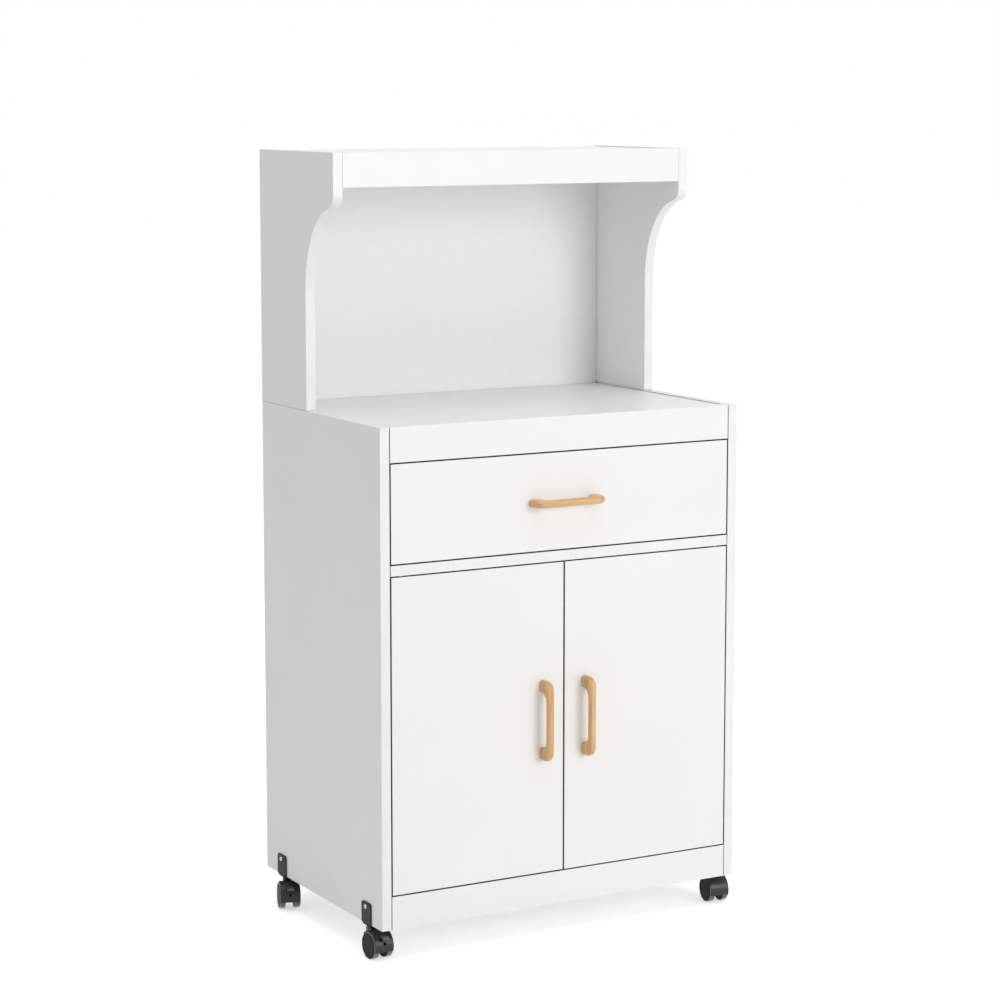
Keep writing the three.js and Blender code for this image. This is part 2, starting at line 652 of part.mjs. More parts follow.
// A ring sector round the axle, in the caster's YZ plane.
function fenderOutline(inner, outer) {
  const start = degrees(FENDER_REAR_ANGLE);
  const end = degrees(FENDER_FRONT_ANGLE);
  const outline = new THREE.Shape();
  outline.absarc(-TRAIL, AXLE_Z, outer, start, end, false);
  if (inner) outline.absarc(-TRAIL, AXLE_Z, inner, end, start, true);
  else outline.lineTo(-TRAIL, AXLE_Z);
  return outline;
}

function leverPocket() {
  const [pivotY, pivotZ] = LEVER_PIVOT;
  return block(
    across(LEVER_WIDTH / 2 + POCKET_SIDE_PLAY),
    [pivotY - 2 * LEVER_LENGTH, pivotY + POCKET_BEHIND],
    [pivotZ - POCKET_BELOW, pivotZ + POCKET_ABOVE],
  );
}

function lockHole() {
  const front = -TRAIL - FENDER_INNER_RADIUS;
  const low = AXLE_Z + LOCK_HOLE_RISE;
  return block(
    across(LOCK_HOLE_SIZE / 2),
    [front - LOCK_HOLE_SIZE, front + LOCK_HOLE_SIZE],
    [low, low + LOCK_HOLE_SIZE],
  );
}

// Fender, web, hub, neck, boss and stem are one piece.
function casterHood(name, braked) {
  const top = -SEAT - BRACKET_SHEET - SEAT;
  const sheet = fenderOutline(FENDER_INNER_RADIUS, FENDER_INNER_RADIUS + FENDER_SHEET);
  const web = fenderOutline(0, FENDER_INNER_RADIUS + WEB_OVERLAP);
  const half = WEB_WIDTH / 2;
  const body = joined(
    slabAlongX(sheet, FENDER_WIDTH, { curveSegments: FENDER_STEPS }),
    slabAlongX(web, WEB_WIDTH, { curveSegments: FENDER_STEPS }),
    rodAlongX(HUB_RADIUS, across(half), -TRAIL, AXLE_Z),
    block(across(half), [-TRAIL / 2, half], [AXLE_Z - HUB_RADIUS, top - NECK_DROP]),
    rodAlongZ(BOSS_RADIUS, [top - BOSS_HEIGHT, top], 0, 0),
    rodAlongZ(STEM_RADIUS, [top - STEM_ROOT, STEM_LENGTH], 0, 0),
  );
  const bore = rodAlongX(AXLE_RADIUS + SEAT, across(CASTER_WIDTH), -TRAIL, AXLE_Z, PIN_SIDES);
  const cuts = braked ? [bore, leverPocket(), lockHole()] : [bore];
  return mesh(`caster_hood_${name}`, cut(body, cuts), BLACK_PLASTIC);
}

// Profile of a wheel from its closed outer face to the blind bore in its inner face.
function wheelGeometry() {
  const face = WHEEL_WIDTH - WHEEL_CAP_RECESS;
  const boreDepth = WHEEL_WIDTH - WHEEL_CAP_FLOOR;
  const profile = [
    [0, boreDepth],
    [AXLE_RADIUS + SEAT, boreDepth],
    [AXLE_RADIUS + SEAT, 0],
    [WHEEL_RADIUS - WHEEL_EDGE, 0],
    [WHEEL_RADIUS, WHEEL_EDGE],
    [WHEEL_RADIUS, WHEEL_WIDTH - WHEEL_RIM],
    [WHEEL_RADIUS - WHEEL_RIM, WHEEL_WIDTH],
    [WHEEL_CAP_RADIUS + WHEEL_CAP_RECESS, WHEEL_WIDTH],
    [WHEEL_CAP_RADIUS, face],
    [0, face],
  ];
  const points = profile.map(([r, x]) => new THREE.Vector2(r, x));
  const lathe = new THREE.LatheGeometry(points, WHEEL_SIDES, Math.PI / WHEEL_SIDES);
  return lathe.rotateZ(-Math.PI / 2);
}

function casterWheel(name, place, outward) {
  const wheel = mesh(`wheel_${name}_${place}`, wheelGeometry(), WHEEL_PLASTIC);
  wheel.position.set(outward * (CASTER_WIDTH / 2 - WHEEL_WIDTH), -TRAIL, AXLE_Z);
  wheel.rotation.z = outward > 0 ? 0 : Math.PI;
  return wheel;
}

function casterAxle(name) {
  const half = CASTER_WIDTH / 2 - WHEEL_CAP_FLOOR - SEAT;
  const axle = rodAlongX(AXLE_RADIUS, across(half), -TRAIL, AXLE_Z, PIN_SIDES);
  return mesh(`caster_axle_${name}`, axle, BRIGHT_STEEL);
}

function brakeLever(name) {
  const knuckle = degrees(LEVER_KNUCKLE_ANGLE);
  const outline = new THREE.Shape();
  outline.absarc(0, 0, LEVER_KNUCKLE_RADIUS, -knuckle, knuckle, false);
  outline.lineTo(-LEVER_LENGTH, LEVER_HALF_SHEET);
  outline.lineTo(-LEVER_LENGTH, -LEVER_LIP);
  outline.lineTo(LEVER_LIP_SHEET - LEVER_LENGTH, -LEVER_LIP);
  outline.lineTo(LEVER_LIP_SHEET - LEVER_LENGTH, -LEVER_HALF_SHEET);
  const tab = slabAlongX(outline, LEVER_WIDTH, { curveSegments: KNUCKLE_STEPS });
  const lever = mesh(`brake_lever_${name}`, tab, BLACK_PLASTIC);
  lever.position.set(0, ...LEVER_PIVOT);
  return lever;
}

function caster(name, side, y) {
  const place = new THREE.Group();
  place.position.set(side * STEM_X, y, 0);
  place.add(casterBracket(name, side));
  const swivel = new THREE.Group();
  swivel.rotation.z = degrees(SWIVELS[name]);
  const braked = side < 0;
  swivel.add(casterHood(name, braked));
  swivel.add(casterAxle(name));
  swivel.add(casterWheel(name, "outer", side));
  swivel.add(casterWheel(name, "inner", -side));
  if (braked) swivel.add(brakeLever(name));
  place.add(swivel);
  return place;
}

// ---- The whole cart --------------------------------------------------------------------------
function cart() {
  const group = new THREE.Group();
  group.position.set(0, FRONT_Y, FLOOR_GAP);
  group.add(...cabinetBoards());
  group.add(backPanel("cabinet_back_panel", [BOTTOM_PANEL_UNDERSIDE, BACK_JOINT]));
  group.add(innerShelf(), ...shelfPins(), magneticCatch());
  group.add(...hutch(), drawer(), ...pivotPins());
  for (const [name, side] of Object.entries(SIDES)) {
    group.add(cabinetSide(name, side), cabinetRunner(name, side), door(name, side));
    for (const [end, y] of Object.entries(STEM_PLACES)) {
      group.add(caster(`${end}_${name}`, side, y));
    }
  }
  const root = new THREE.Group();
  root.add(group);
  return root;
}

export default cart();
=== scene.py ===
"""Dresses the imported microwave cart: foiled boards, beech handles, casters, fittings and a studio.

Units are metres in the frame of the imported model: +Z is up, -Y is the front and z = 0 is the floor.
"""

import json
import logging
import math
from contextlib import contextmanager
from dataclasses import dataclass, field
from enum import Enum
from typing import Callable, Iterator, Sequence

import bmesh
import bpy
from bmesh.types import BMEdge
from bpy.types import Material, Node, NodeSocket, Object, World
from mathutils import Matrix, Vector

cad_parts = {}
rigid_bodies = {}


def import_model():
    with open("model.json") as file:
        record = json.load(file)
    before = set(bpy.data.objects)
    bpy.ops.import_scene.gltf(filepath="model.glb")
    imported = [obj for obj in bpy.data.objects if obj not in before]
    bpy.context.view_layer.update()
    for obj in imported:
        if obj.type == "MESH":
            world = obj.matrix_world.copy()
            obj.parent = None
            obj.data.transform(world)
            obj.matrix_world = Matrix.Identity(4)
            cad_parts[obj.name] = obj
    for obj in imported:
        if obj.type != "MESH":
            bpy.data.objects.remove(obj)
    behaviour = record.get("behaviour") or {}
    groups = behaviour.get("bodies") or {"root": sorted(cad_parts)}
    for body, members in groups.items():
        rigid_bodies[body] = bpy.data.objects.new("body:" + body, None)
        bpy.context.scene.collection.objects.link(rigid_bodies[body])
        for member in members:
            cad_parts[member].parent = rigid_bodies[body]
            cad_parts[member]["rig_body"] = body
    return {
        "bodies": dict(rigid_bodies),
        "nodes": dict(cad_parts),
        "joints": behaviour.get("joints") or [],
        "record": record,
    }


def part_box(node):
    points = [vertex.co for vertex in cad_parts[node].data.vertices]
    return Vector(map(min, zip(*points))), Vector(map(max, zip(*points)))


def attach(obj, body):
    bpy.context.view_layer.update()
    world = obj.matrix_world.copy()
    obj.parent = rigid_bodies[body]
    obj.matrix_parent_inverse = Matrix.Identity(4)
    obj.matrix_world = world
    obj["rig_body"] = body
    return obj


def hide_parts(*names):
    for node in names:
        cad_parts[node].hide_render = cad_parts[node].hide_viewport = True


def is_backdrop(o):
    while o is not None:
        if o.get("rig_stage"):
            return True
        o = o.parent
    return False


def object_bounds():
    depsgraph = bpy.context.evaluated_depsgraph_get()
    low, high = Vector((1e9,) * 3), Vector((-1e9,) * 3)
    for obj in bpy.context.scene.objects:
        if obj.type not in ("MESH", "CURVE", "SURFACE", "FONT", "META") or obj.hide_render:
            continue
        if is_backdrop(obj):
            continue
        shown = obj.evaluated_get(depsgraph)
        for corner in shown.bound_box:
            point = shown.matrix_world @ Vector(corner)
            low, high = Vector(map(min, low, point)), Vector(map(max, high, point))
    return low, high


LOG = logging.getLogger("microwave_cart")
MM = 0.001
MERGE_DISTANCE = 0.01 * MM
FLAT_WITHIN = 0.5  # degrees
OCCLUSION_SAMPLES = 8
AXLE_BORE = 2.3 * MM
# Shares of a length, or of a unit vector, that count as nearly all of it and as all of it.
NEARLY, WHOLLY = 0.9, 0.99
WHITE = (1.0, 1.0, 1.0)
UP = Vector((0.0, 0.0, 1.0))
FORWARD = Vector((0.0, -1.0, 0.0))
SIDES = {"left": -1, "right": 1}

Colour = tuple[float, float, float]
Numbers = Sequence[float]
FaceTest = Callable[[Vector, Vector], bool]
EdgeTest = Callable[[BMEdge], bool]


class Axis(Enum):
    """A direction of the cart, by its place in a vector."""

    X = 0
    Y = 1
    Z = 2


class Carve(Enum):
    """What a second solid does to the first."""

    JOIN = "UNION"
    CUT = "DIFFERENCE"


class Part(Enum):
    """What is picked in edit mode."""

    FACES = "FACE"
    EDGES = "EDGE"


# ---- Bench tools ---------------------------------------------------------------------------------


def deselect() -> None:
    """Deselects every object."""
    bpy.ops.object.select_all(action="DESELECT")


def only(*pieces: Object) -> None:
    """Selects some pieces alone and makes the first one active.

    Args:
        pieces: the pieces.
    """
    deselect()
    for piece in pieces:
        piece.select_set(True)
    bpy.context.view_layer.objects.active = pieces[0]


@contextmanager
def editing(piece: Object) -> Iterator[None]:
    """Keeps one piece in edit mode for as long as the block runs.

    Args:
        piece: the piece.

    Yields:
        Nothing.
    """
    only(piece)
    bpy.ops.object.mode_set(mode="EDIT")
    yield
    bpy.ops.object.mode_set(mode="OBJECT")


def settle(piece: Object) -> Object:
    """Moves a piece's place, turn and size into its mesh.

    Args:
        piece: the piece, at any place.

    Returns:
        The same piece, with its object at the origin.
    """
    only(piece)
    bpy.ops.object.transform_apply(location=True, rotation=True, scale=True)
    return piece


def named(name: str) -> Object:
    """Names the active object and settles it.

    Args:
        name: its new name.

    Returns:
        The object.
    """
    piece = bpy.context.active_object
    piece.name = name
    piece.data.name = name
    return settle(piece)


def block(name: str, low: Numbers, high: Numbers) -> Object:
    """Adds a box between two corners.

    Args:
        name: the piece's name.
        low: its lowest corner.
        high: its highest corner.

    Returns:
        The new piece.
    """
    low, high = Vector(low), Vector(high)
    deselect()
    bpy.ops.mesh.primitive_cube_add(size=1, location=(low + high) / 2)
    bpy.context.active_object.scale = high - low
    return named(name)


def rod(name: str, start: Numbers, end: Numbers, radius: float, sides: int = 48) -> Object:
    """Adds a round bar between two points.

    Args:
        name: the piece's name.
        start: the middle of one end.
        end: the middle of the other end.
        radius: its radius.
        sides: how many faces go round it.

    Returns:
        The new piece.
    """
    start, end = Vector(start), Vector(end)
    along = end - start
    deselect()
    bpy.ops.mesh.primitive_cylinder_add(
        vertices=sides,
        radius=radius,
        depth=along.length,
        location=(start + end) / 2,
        rotation=UP.rotation_difference(along).to_euler(),
    )
    return named(name)


def swept(
    name: str, spot: Vector, radii: Numbers, width: float, angles: Numbers, steps: int
) -> Object:
    """Sweeps a rectangle round an axis along X.

    Args:
        name: the piece's name.
        spot: a point on the axis, in the middle of the piece.
        radii: the rectangle's inner and outer radius.
        width: its width along X.
        angles: start and end in degrees, from +Y and over the top.
        steps: how many faces the sweep has.

    Returns:
        The new piece, closed.
    """
    inner, outer = radii
    start, end = map(math.radians, angles)
    reach = (inner + outer) / 2
    deselect()
    bpy.ops.mesh.primitive_plane_add(
        size=1,
        location=spot + reach * Vector((0, math.cos(start), math.sin(start))),
        rotation=(start, 0, 0),
    )
    bpy.context.active_object.scale = (width, outer - inner, 1)
    piece = named(name)
    with editing(piece):
        pick_all()
        bpy.ops.mesh.spin(steps=steps, angle=start - end, center=spot, axis=(1, 0, 0))
    mend(piece)
    return piece


def pick_all() -> None:
    """Picks everything, in edit mode."""
    bpy.ops.mesh.select_all(action="SELECT")


def pick(piece: Object, kind: Part, test: Callable[..., bool]) -> None:
    """Picks, in edit mode, only the faces or the edges that pass a test.

    Args:
        piece: the piece in edit mode.
        kind: what is picked.
        test: takes one face or edge.
    """
    bpy.ops.mesh.select_mode(type=kind.value)
    bpy.ops.mesh.select_all(action="DESELECT")
    mesh = bmesh.from_edit_mesh(piece.data)
    for part in mesh.faces if kind is Part.FACES else mesh.edges:
        if test(part):
            part.select_set(True)
    bmesh.update_edit_mesh(piece.data)


def pick_faces(piece: Object, test: FaceTest) -> None:
    """Picks the faces whose middle and normal pass a test."""
    pick(piece, Part.FACES, lambda face: test(face.calc_center_median(), face.normal))


def pick_edges(piece: Object, test: EdgeTest) -> None:
    """Picks the edges that pass a test."""
    pick(piece, Part.EDGES, test)


def looking(axis: Axis, way: int) -> FaceTest:
    """A test of whether a face looks along an axis, with its arrow (1) or against it (-1)."""
    return lambda _, normal: way * normal[axis.value] > WHOLLY


def middle(edge: BMEdge) -> Vector:
    """The middle of an edge."""
    return (edge.verts[0].co + edge.verts[1].co) / 2


def bevel_picked(width: float, segments: int) -> None:
    """Rounds the edges that are picked in edit mode."""
    bpy.ops.mesh.bevel(offset=width, segments=segments, profile=0.5, affect="EDGES")


def step_picked(rim: float, offset: Numbers) -> None:
    """Insets the faces that are picked in edit mode by a rim, and moves what is left of them."""
    bpy.ops.mesh.inset(thickness=rim)
    bpy.ops.mesh.extrude_region_move(TRANSFORM_OT_translate={"value": offset})


def mend(piece: Object) -> None:
    """Merges doubled points, drops slivers and loose edges, and turns every face outwards.

    Args:
        piece: the piece.
    """
    with editing(piece):
        pick_all()
        bpy.ops.mesh.remove_doubles(threshold=MERGE_DISTANCE)
        bpy.ops.mesh.dissolve_degenerate(threshold=MERGE_DISTANCE)
        pick_all()
        bpy.ops.mesh.delete_loose()
        pick_all()
        bpy.ops.mesh.normals_make_consistent(inside=False)


def apply_modifier(piece: Object, kind: str, **settings: object) -> None:
    """Adds a modifier to a piece and applies it.

    Args:
        piece: the piece.
        kind: Blender's name for the modifier.
        settings: the modifier's own settings, by name.
    """
    only(piece)
    change = piece.modifiers.new(kind.lower(), kind)
    for name, value in settings.items():
        setattr(change, name, value)
    bpy.ops.object.modifier_apply(modifier=change.name)


def carve(piece: Object, tool: Object, action: Carve) -> None:
    """Joins a second solid to a piece, or cuts it out, and removes the second one."""
    apply_modifier(piece, "BOOLEAN", operation=action.value, object=tool, solver="EXACT")
    bpy.data.objects.remove(tool)


def round_edges(piece: Object, width: float, segments: int = 2, sharper_than: float = 40.0) -> None:
    """Rounds every edge sharper than an angle, in degrees."""
    limit = {"limit_method": "ANGLE", "angle_limit": math.radians(sharper_than)}
    apply_modifier(piece, "BEVEL", width=width, segments=segments, **limit)


def shade(piece: Object, angle: float = 50.0) -> Object:
    """Shades a piece smooth up to an angle and keeps its flat faces flat.

    Args:
        piece: the piece.
        angle: the sharpest edge that is still shaded smooth, in degrees.

    Returns:
        The same piece.
    """
    only(piece)
    bpy.ops.object.shade_smooth_by_angle(angle=math.radians(angle))
    apply_modifier(piece, "WEIGHTED_NORMAL", keep_sharp=True)
    return piece


def copied(piece: Object, name: str) -> Object:
    """Copies a piece with a mesh of its own.

    Args:
        piece: the pattern.
        name: the copy's name.

    Returns:
        The copy.
    """
    copy = bpy.data.objects.new(name, piece.data.copy())
    bpy.context.scene.collection.objects.link(copy)
    return copy


def placed(pattern: Object, name: str, spot: Numbers, direction: Numbers) -> Object:
    """Copies a pattern that faces +Z to a place, and turns it to face another way.

    Args:
        pattern: the pattern, at the origin.
        name: the copy's name.
        spot: where the pattern's origin goes.
        direction: where its +Z points.

    Returns:
        The copy, settled.
    """
    copy = copied(pattern, name)
    turn = UP.rotation_difference(Vector(direction)).to_matrix().to_4x4()
    copy.matrix_world = Matrix.Translation(Vector(spot)) @ turn
    return settle(copy)


def joined(name: str, pieces: Sequence[Object]) -> Object:
    """Makes one piece of several.

    Args:
        name: the name of the whole.
        pieces: the pieces that it is made of.

    Returns:
        The whole.
    """
    only(*pieces)
    if len(pieces) > 1:
        bpy.ops.object.join()
    pieces[0].name = name
    return pieces[0]


def row(pattern: Object, name: str, spots: Sequence[Numbers], direction: Numbers) -> Object:
    """Copies a pattern to several places, all facing one way, as one piece."""
    copies = [placed(pattern, f"{name}_{i}", spot, direction) for i, spot in enumerate(spots)]
    return joined(name, copies)


def discard(*patterns: Object) -> None:
    """Removes patterns whose copies are all made."""
    for pattern in patterns:
        bpy.data.objects.remove(pattern)


def centre_of(node: str) -> Vector:
    """The middle of a node's box."""
    low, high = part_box(node)
    return (low + high) / 2


def outer_face(node: str, side: int) -> float:
    """The place along X of a node's face that is farthest from the cart's middle."""
    low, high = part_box(node)
    return side * max(abs(low.x), abs(high.x))


# ---- Finishes ------------------------------------------------------------------------------------


class NodeTree:
    """The nodes of a material or a world, with short ways to add and join them."""

    def __init__(self, owner: Material | World) -> None:
        """Gives a material or a world an empty tree.

        Args:
            owner: the material or the world.
        """
        owner.use_nodes = True
        self.tree = owner.node_tree
        self.tree.nodes.clear()

    def node(self, kind: str, **values: object) -> Node:
        """Adds one node.

        Args:
            kind: Blender's name for it, without the prefix.
            values: values of its sockets, with _ for a blank in their names.

        Returns:
            The node.
        """
        node = self.tree.nodes.new(f"ShaderNode{kind}")
        self.tune(node, **values)
        return node

    def tune(self, node: Node, **values: object) -> None:
        """Sets a node's own sockets, with _ for a blank in their names."""
        for name, value in values.items():
            node.inputs[name.replace("_", " ")].default_value = value

    def link(self, source: NodeSocket, node: Node, socket: str | int) -> None:
        """Joins a socket to another node's input."""
        self.tree.links.new(source, node.inputs[socket])

    def seen(self) -> NodeSocket:
        """A factor that is 1 for what the camera sees, straight or in a reflection.

        Returns:
            The factor.
        """
        path = self.node("LightPath")
        total = path.outputs["Is Camera Ray"]
        for name in ("Is Glossy Ray", "Is Transmission Ray"):
            most = self.node("Math")
            most.operation = "MAXIMUM"
            self.link(total, most, 0)
            self.link(path.outputs[name], most, 1)
            total = most.outputs[0]
        return total


class Grain(NodeTree):
    """The nodes of one finish, with a short method for each kind of pattern that finishes use."""

    def __init__(self, name: str) -> None:
        """Starts a material with its shader and its object coordinates.

        Args:
            name: the material's name.
        """
        self.material = bpy.data.materials.new(name)
        super().__init__(self.material)
        self.shader = self.node("BsdfPrincipled")
        self.output = self.node("OutputMaterial")
        self.link(self.shader.outputs["BSDF"], self.output, "Surface")
        self.coordinates = self.node("TexCoord").outputs["Object"]

    def stretched(self, scale: Sequence[float]) -> NodeSocket:
        """Object coordinates, scaled along each axis.

        Args:
            scale: the scale along X, Y and Z.

        Returns:
            The coordinates.
        """
        mapping = self.node("Mapping", Scale=scale)
        self.link(self.coordinates, mapping, "Vector")
        return mapping.outputs["Vector"]

    def noise(
        self, scale: float, detail: float = 3.0, vector: NodeSocket | None = None
    ) -> NodeSocket:
        """Cloudy noise.

        Args:
            scale: how many clouds go to a metre.
            detail: how much finer noise lies in them.
            vector: where it is read, or object coordinates where left out.

        Returns:
            The noise's value.
        """
        noise = self.node("TexNoise", Scale=scale, Detail=detail)
        self.link(vector or self.coordinates, noise, "Vector")
        return noise.outputs["Fac"]

    def cells(self, scale: float, vector: NodeSocket) -> NodeSocket:
        """Distance to the nearest of scattered points.

        Args:
            scale: how many points go to a unit of length.
            vector: where it is read.

        Returns:
            The distance.
        """
        cells = self.node("TexVoronoi", Scale=scale)
        self.link(vector, cells, "Vector")
        return cells.outputs["Distance"]

    def open_air(self, reach: float) -> NodeSocket:
        """How open the surroundings of a point are.

        Args:
            reach: how far they are looked at, in metres.

        Returns:
            The openness, from 0 to 1.
        """
        occlusion = self.node("AmbientOcclusion", Distance=reach)
        occlusion.samples = OCCLUSION_SAMPLES
        return occlusion.outputs["AO"]

    def ramp(self, value: NodeSocket, places: Sequence[float], *colours: Colour) -> NodeSocket:
        """Turns a value into a colour.

        Args:
            value: what is read.
            places: where the colours stand on the ramp.
            colours: the colours.

        Returns:
            The colour.
        """
        ramp = self.node("ValToRGB")
        elements = ramp.color_ramp.elements
        while len(elements) < len(places):
            elements.new(1.0)
        for element, place, colour in zip(elements, places, colours):
            element.position = place
            element.color = (*colour, 1.0)
        self.link(value, ramp, "Fac")
        return ramp.outputs["Color"]

    def ranged(self, value: NodeSocket, low: float, high: float) -> NodeSocket:
        """Spreads the middle of a noise over another range.

        Args:
            value: the noise, which keeps mostly to 0.3 to 0.7.
            low: what 0.3 becomes.
            high: what 0.7 becomes.

        Returns:
            The new value.
        """
        ranged = self.node("MapRange", From_Min=0.3, From_Max=0.7, To_Min=low, To_Max=high)
        self.link(value, ranged, "Value")
        return ranged.outputs["Result"]

    def multiplied(self, first: NodeSocket, second: NodeSocket) -> NodeSocket:
        """Multiplies two colours.

        Args:
            first: one colour.
            second: the other.

        Returns:
            Their product.
        """
        mix = self.node("Mix", Factor=1.0)
        mix.data_type = "RGBA"
        mix.blend_type = "MULTIPLY"
        self.link(first, mix, "A")
        self.link(second, mix, "B")
        return mix.outputs["Result"]

    def surface(self, colour: NodeSocket, roughness: NodeSocket) -> None:
        """Gives the shader its colour and its roughness."""
        self.link(colour, self.shader, "Base Color")
        self.link(roughness, self.shader, "Roughness")

    def emboss(self, height: NodeSocket, strength: float, depth: float) -> None:
        """Gives the surface a fine relief.

        Args:
            height: the height, from 0 to 1.
            strength: how much of the relief is taken.
            depth: how deep it is, in metres.
        """
        bump = self.node("Bump", Strength=strength, Distance=depth)
        self.link(height, bump, "Height")
        self.link(bump.outputs["Normal"], self.shader, "Normal")


@dataclass(frozen=True)
class Relief:
    """A fine relief: how many bumps go to a metre, how much of it is taken and how deep it is."""

    scale: float
    strength: float
    depth: float


@dataclass(frozen=True)
class Finish:
    """The look of one material: a colour that varies a little, a roughness, a fine relief and, where
    set, painted shade in its gaps and joints.
    """

    name: str
    light: Colour
    dark: Colour
    cloud_scale: float
    rough: tuple[float, float]
    relief: Relief
    metallic: float = 0.0
    shine: float = 0.5
    coat: float = 0.0
    coat_roughness: float = 0.15
    cloud_places: tuple[float, float] = (0.35, 0.65)
    rough_per_cloud: float = 3.0
    # Painted shade: within this reach of a gap, joint or inner corner, ambient occlusion darkens the
    # colour towards the shade colour below.
    crevice_reach: float = 0.0
    crevice_colour: Colour = (0.02, 0.02, 0.02)
    crevice_places: tuple[float, float] = (0.32, 0.5)

    def make(self) -> Material:
        """Builds the material.

        Returns:
            The material.
        """
        grain = Grain(self.name)
        clouds = grain.noise(self.cloud_scale)
        colour = grain.ramp(clouds, self.cloud_places, self.dark, self.light)
        # Painted shade in gaps, joints and inner corners, where ambient occlusion finds the
        # surroundings closed in.
        if self.crevice_reach:
            openness = grain.open_air(self.crevice_reach)
            shadow = grain.ramp(openness, self.crevice_places, self.crevice_colour, WHITE)
            colour = grain.multiplied(colour, shadow)
        wear = grain.noise(self.rough_per_cloud * self.cloud_scale)
        grain.surface(colour, grain.ranged(wear, *self.rough))
        relief = self.relief
        grain.emboss(grain.noise(relief.scale), relief.strength, relief.depth)
        grain.tune(grain.shader, Metallic=self.metallic, Specular_IOR_Level=self.shine)
        grain.tune(grain.shader, Coat_Weight=self.coat, Coat_Roughness=self.coat_roughness)
        return grain.material


@dataclass(frozen=True)
class BeechFinish:
    """Clear-lacquered beech, with its grain along one axis."""

    name: str
    grain: Axis
    bands: tuple[Colour, ...] = ((0.52, 0.28, 0.105), (0.65, 0.385, 0.165), (0.76, 0.475, 0.235))
    band_places: tuple[float, ...] = (0.32, 0.5, 0.68)
    bands_along: float = 9.0
    bands_across: float = 170.0
    band_detail: float = 4.0
    pores_along: float = 270.0
    pores_across: float = 2040.0
    pore_detail: float = 2.0
    pore_strength: float = 0.25
    pore_depth: float = 0.05 * MM
    fleck: Colour = (0.72, 0.62, 0.55)
    fleck_places: tuple[float, float] = (0.1, 0.22)
    fleck_scale: float = 0.35
    rough: tuple[float, float] = (0.36, 0.48)
    coat: float = 0.25
    coat_roughness: float = 0.25

    def scale(self, along: float, across: float) -> list[float]:
        """The scale along X, Y and Z of a pattern that is long in the grain.

        Args:
            along: its scale along the grain.
            across: its scale across it.

        Returns:
            The three scales.
        """
        scale = [across] * 3
        scale[self.grain.value] = along
        return scale

    def make(self) -> Material:
        """Builds the material: growth bands, fine pores and short dark flecks under a lacquer.

        Returns:
            The material.
        """
        grain = Grain(self.name)
        wide = grain.stretched(self.scale(self.bands_along, self.bands_across))
        bands = grain.ramp(grain.noise(1.0, self.band_detail, wide), self.band_places, *self.bands)
        fine = grain.stretched(self.scale(self.pores_along, self.pores_across))
        pores = grain.noise(1.0, self.pore_detail, fine)
        cells = grain.cells(self.fleck_scale, fine)
        flecks = grain.ramp(cells, self.fleck_places, self.fleck, WHITE)
        grain.surface(grain.multiplied(bands, flecks), grain.ranged(pores, *self.rough))
        grain.emboss(pores, self.pore_strength, self.pore_depth)
        grain.tune(grain.shader, Coat_Weight=self.coat, Coat_Roughness=self.coat_roughness)
        return grain.material


# The white foil and its edge band carry painted shade in gaps and joints.
FOIL = Finish(
    "white_foil",
    light=(0.90, 0.90, 0.90),
    dark=(0.885, 0.885, 0.884),
    cloud_scale=6.0,
    rough=(0.33, 0.42),
    relief=Relief(1500.0, 0.12, 0.03 * MM),
    crevice_reach=8 * MM,
)
EDGE_BAND = Finish(
    "white_edge_band",
    light=(0.90, 0.90, 0.90),
    dark=(0.87, 0.87, 0.868),
    cloud_scale=30.0,
    rough=(0.28, 0.38),
    relief=Relief(700.0, 0.15, 0.03 * MM),
    crevice_reach=8 * MM,
)
HARDBOARD = Finish(
    "white_hardboard",
    light=(0.92, 0.92, 0.913),
    dark=(0.905, 0.905, 0.898),
    cloud_scale=60.0,
    rough=(0.5, 0.62),
    relief=Relief(2200.0, 0.25, 0.04 * MM),
)
POWDER_COAT = Finish(
    "white_powder_coat",
    light=(0.82, 0.82, 0.81),
    dark=(0.78, 0.78, 0.77),
    cloud_scale=40.0,
    rough=(0.35, 0.48),
    relief=Relief(1800.0, 0.4, 0.06 * MM),
)
ZINC = Finish(
    "zinc_plate",
    light=(0.70, 0.70, 0.69),
    dark=(0.58, 0.58, 0.59),
    cloud_scale=260.0,
    rough=(0.22, 0.4),
    relief=Relief(2600.0, 0.2, 0.02 * MM),
    metallic=1.0,
)
BLACK_LACQUER = Finish(
    "black_lacquer",
    light=(0.040, 0.039, 0.033),
    dark=(0.030, 0.029, 0.025),
    cloud_scale=120.0,
    rough=(0.4, 0.52),
    relief=Relief(2400.0, 0.3, 0.03 * MM),
    shine=0.12,
)
BLACK_NYLON = Finish(
    "black_nylon",
    light=(0.022, 0.022, 0.021),
    dark=(0.014, 0.014, 0.013),
    cloud_scale=90.0,
    rough=(0.3, 0.42),
    relief=Relief(1900.0, 0.3, 0.04 * MM),
    shine=0.42,
)
# The brake lever's nylon is painted lighter than the hood's black nylon, so the tab reads as lit and
# its front edge shows a highlight.
LEVER_NYLON_PAINTED_LIGHT = Finish(
    "lever_nylon",
    light=(0.060, 0.060, 0.058),
    dark=(0.045, 0.045, 0.043),
    cloud_scale=110.0,
    rough=(0.22, 0.34),
    relief=Relief(1900.0, 0.3, 0.04 * MM),
    shine=0.8,
)
WHEEL_NYLON = Finish(
    "wheel_nylon",
    light=(0.021, 0.020, 0.018),
    dark=(0.014, 0.013, 0.012),
    cloud_scale=140.0,
    rough=(0.42, 0.55),
    relief=Relief(1400.0, 0.35, 0.05 * MM),
    shine=0.1,
)
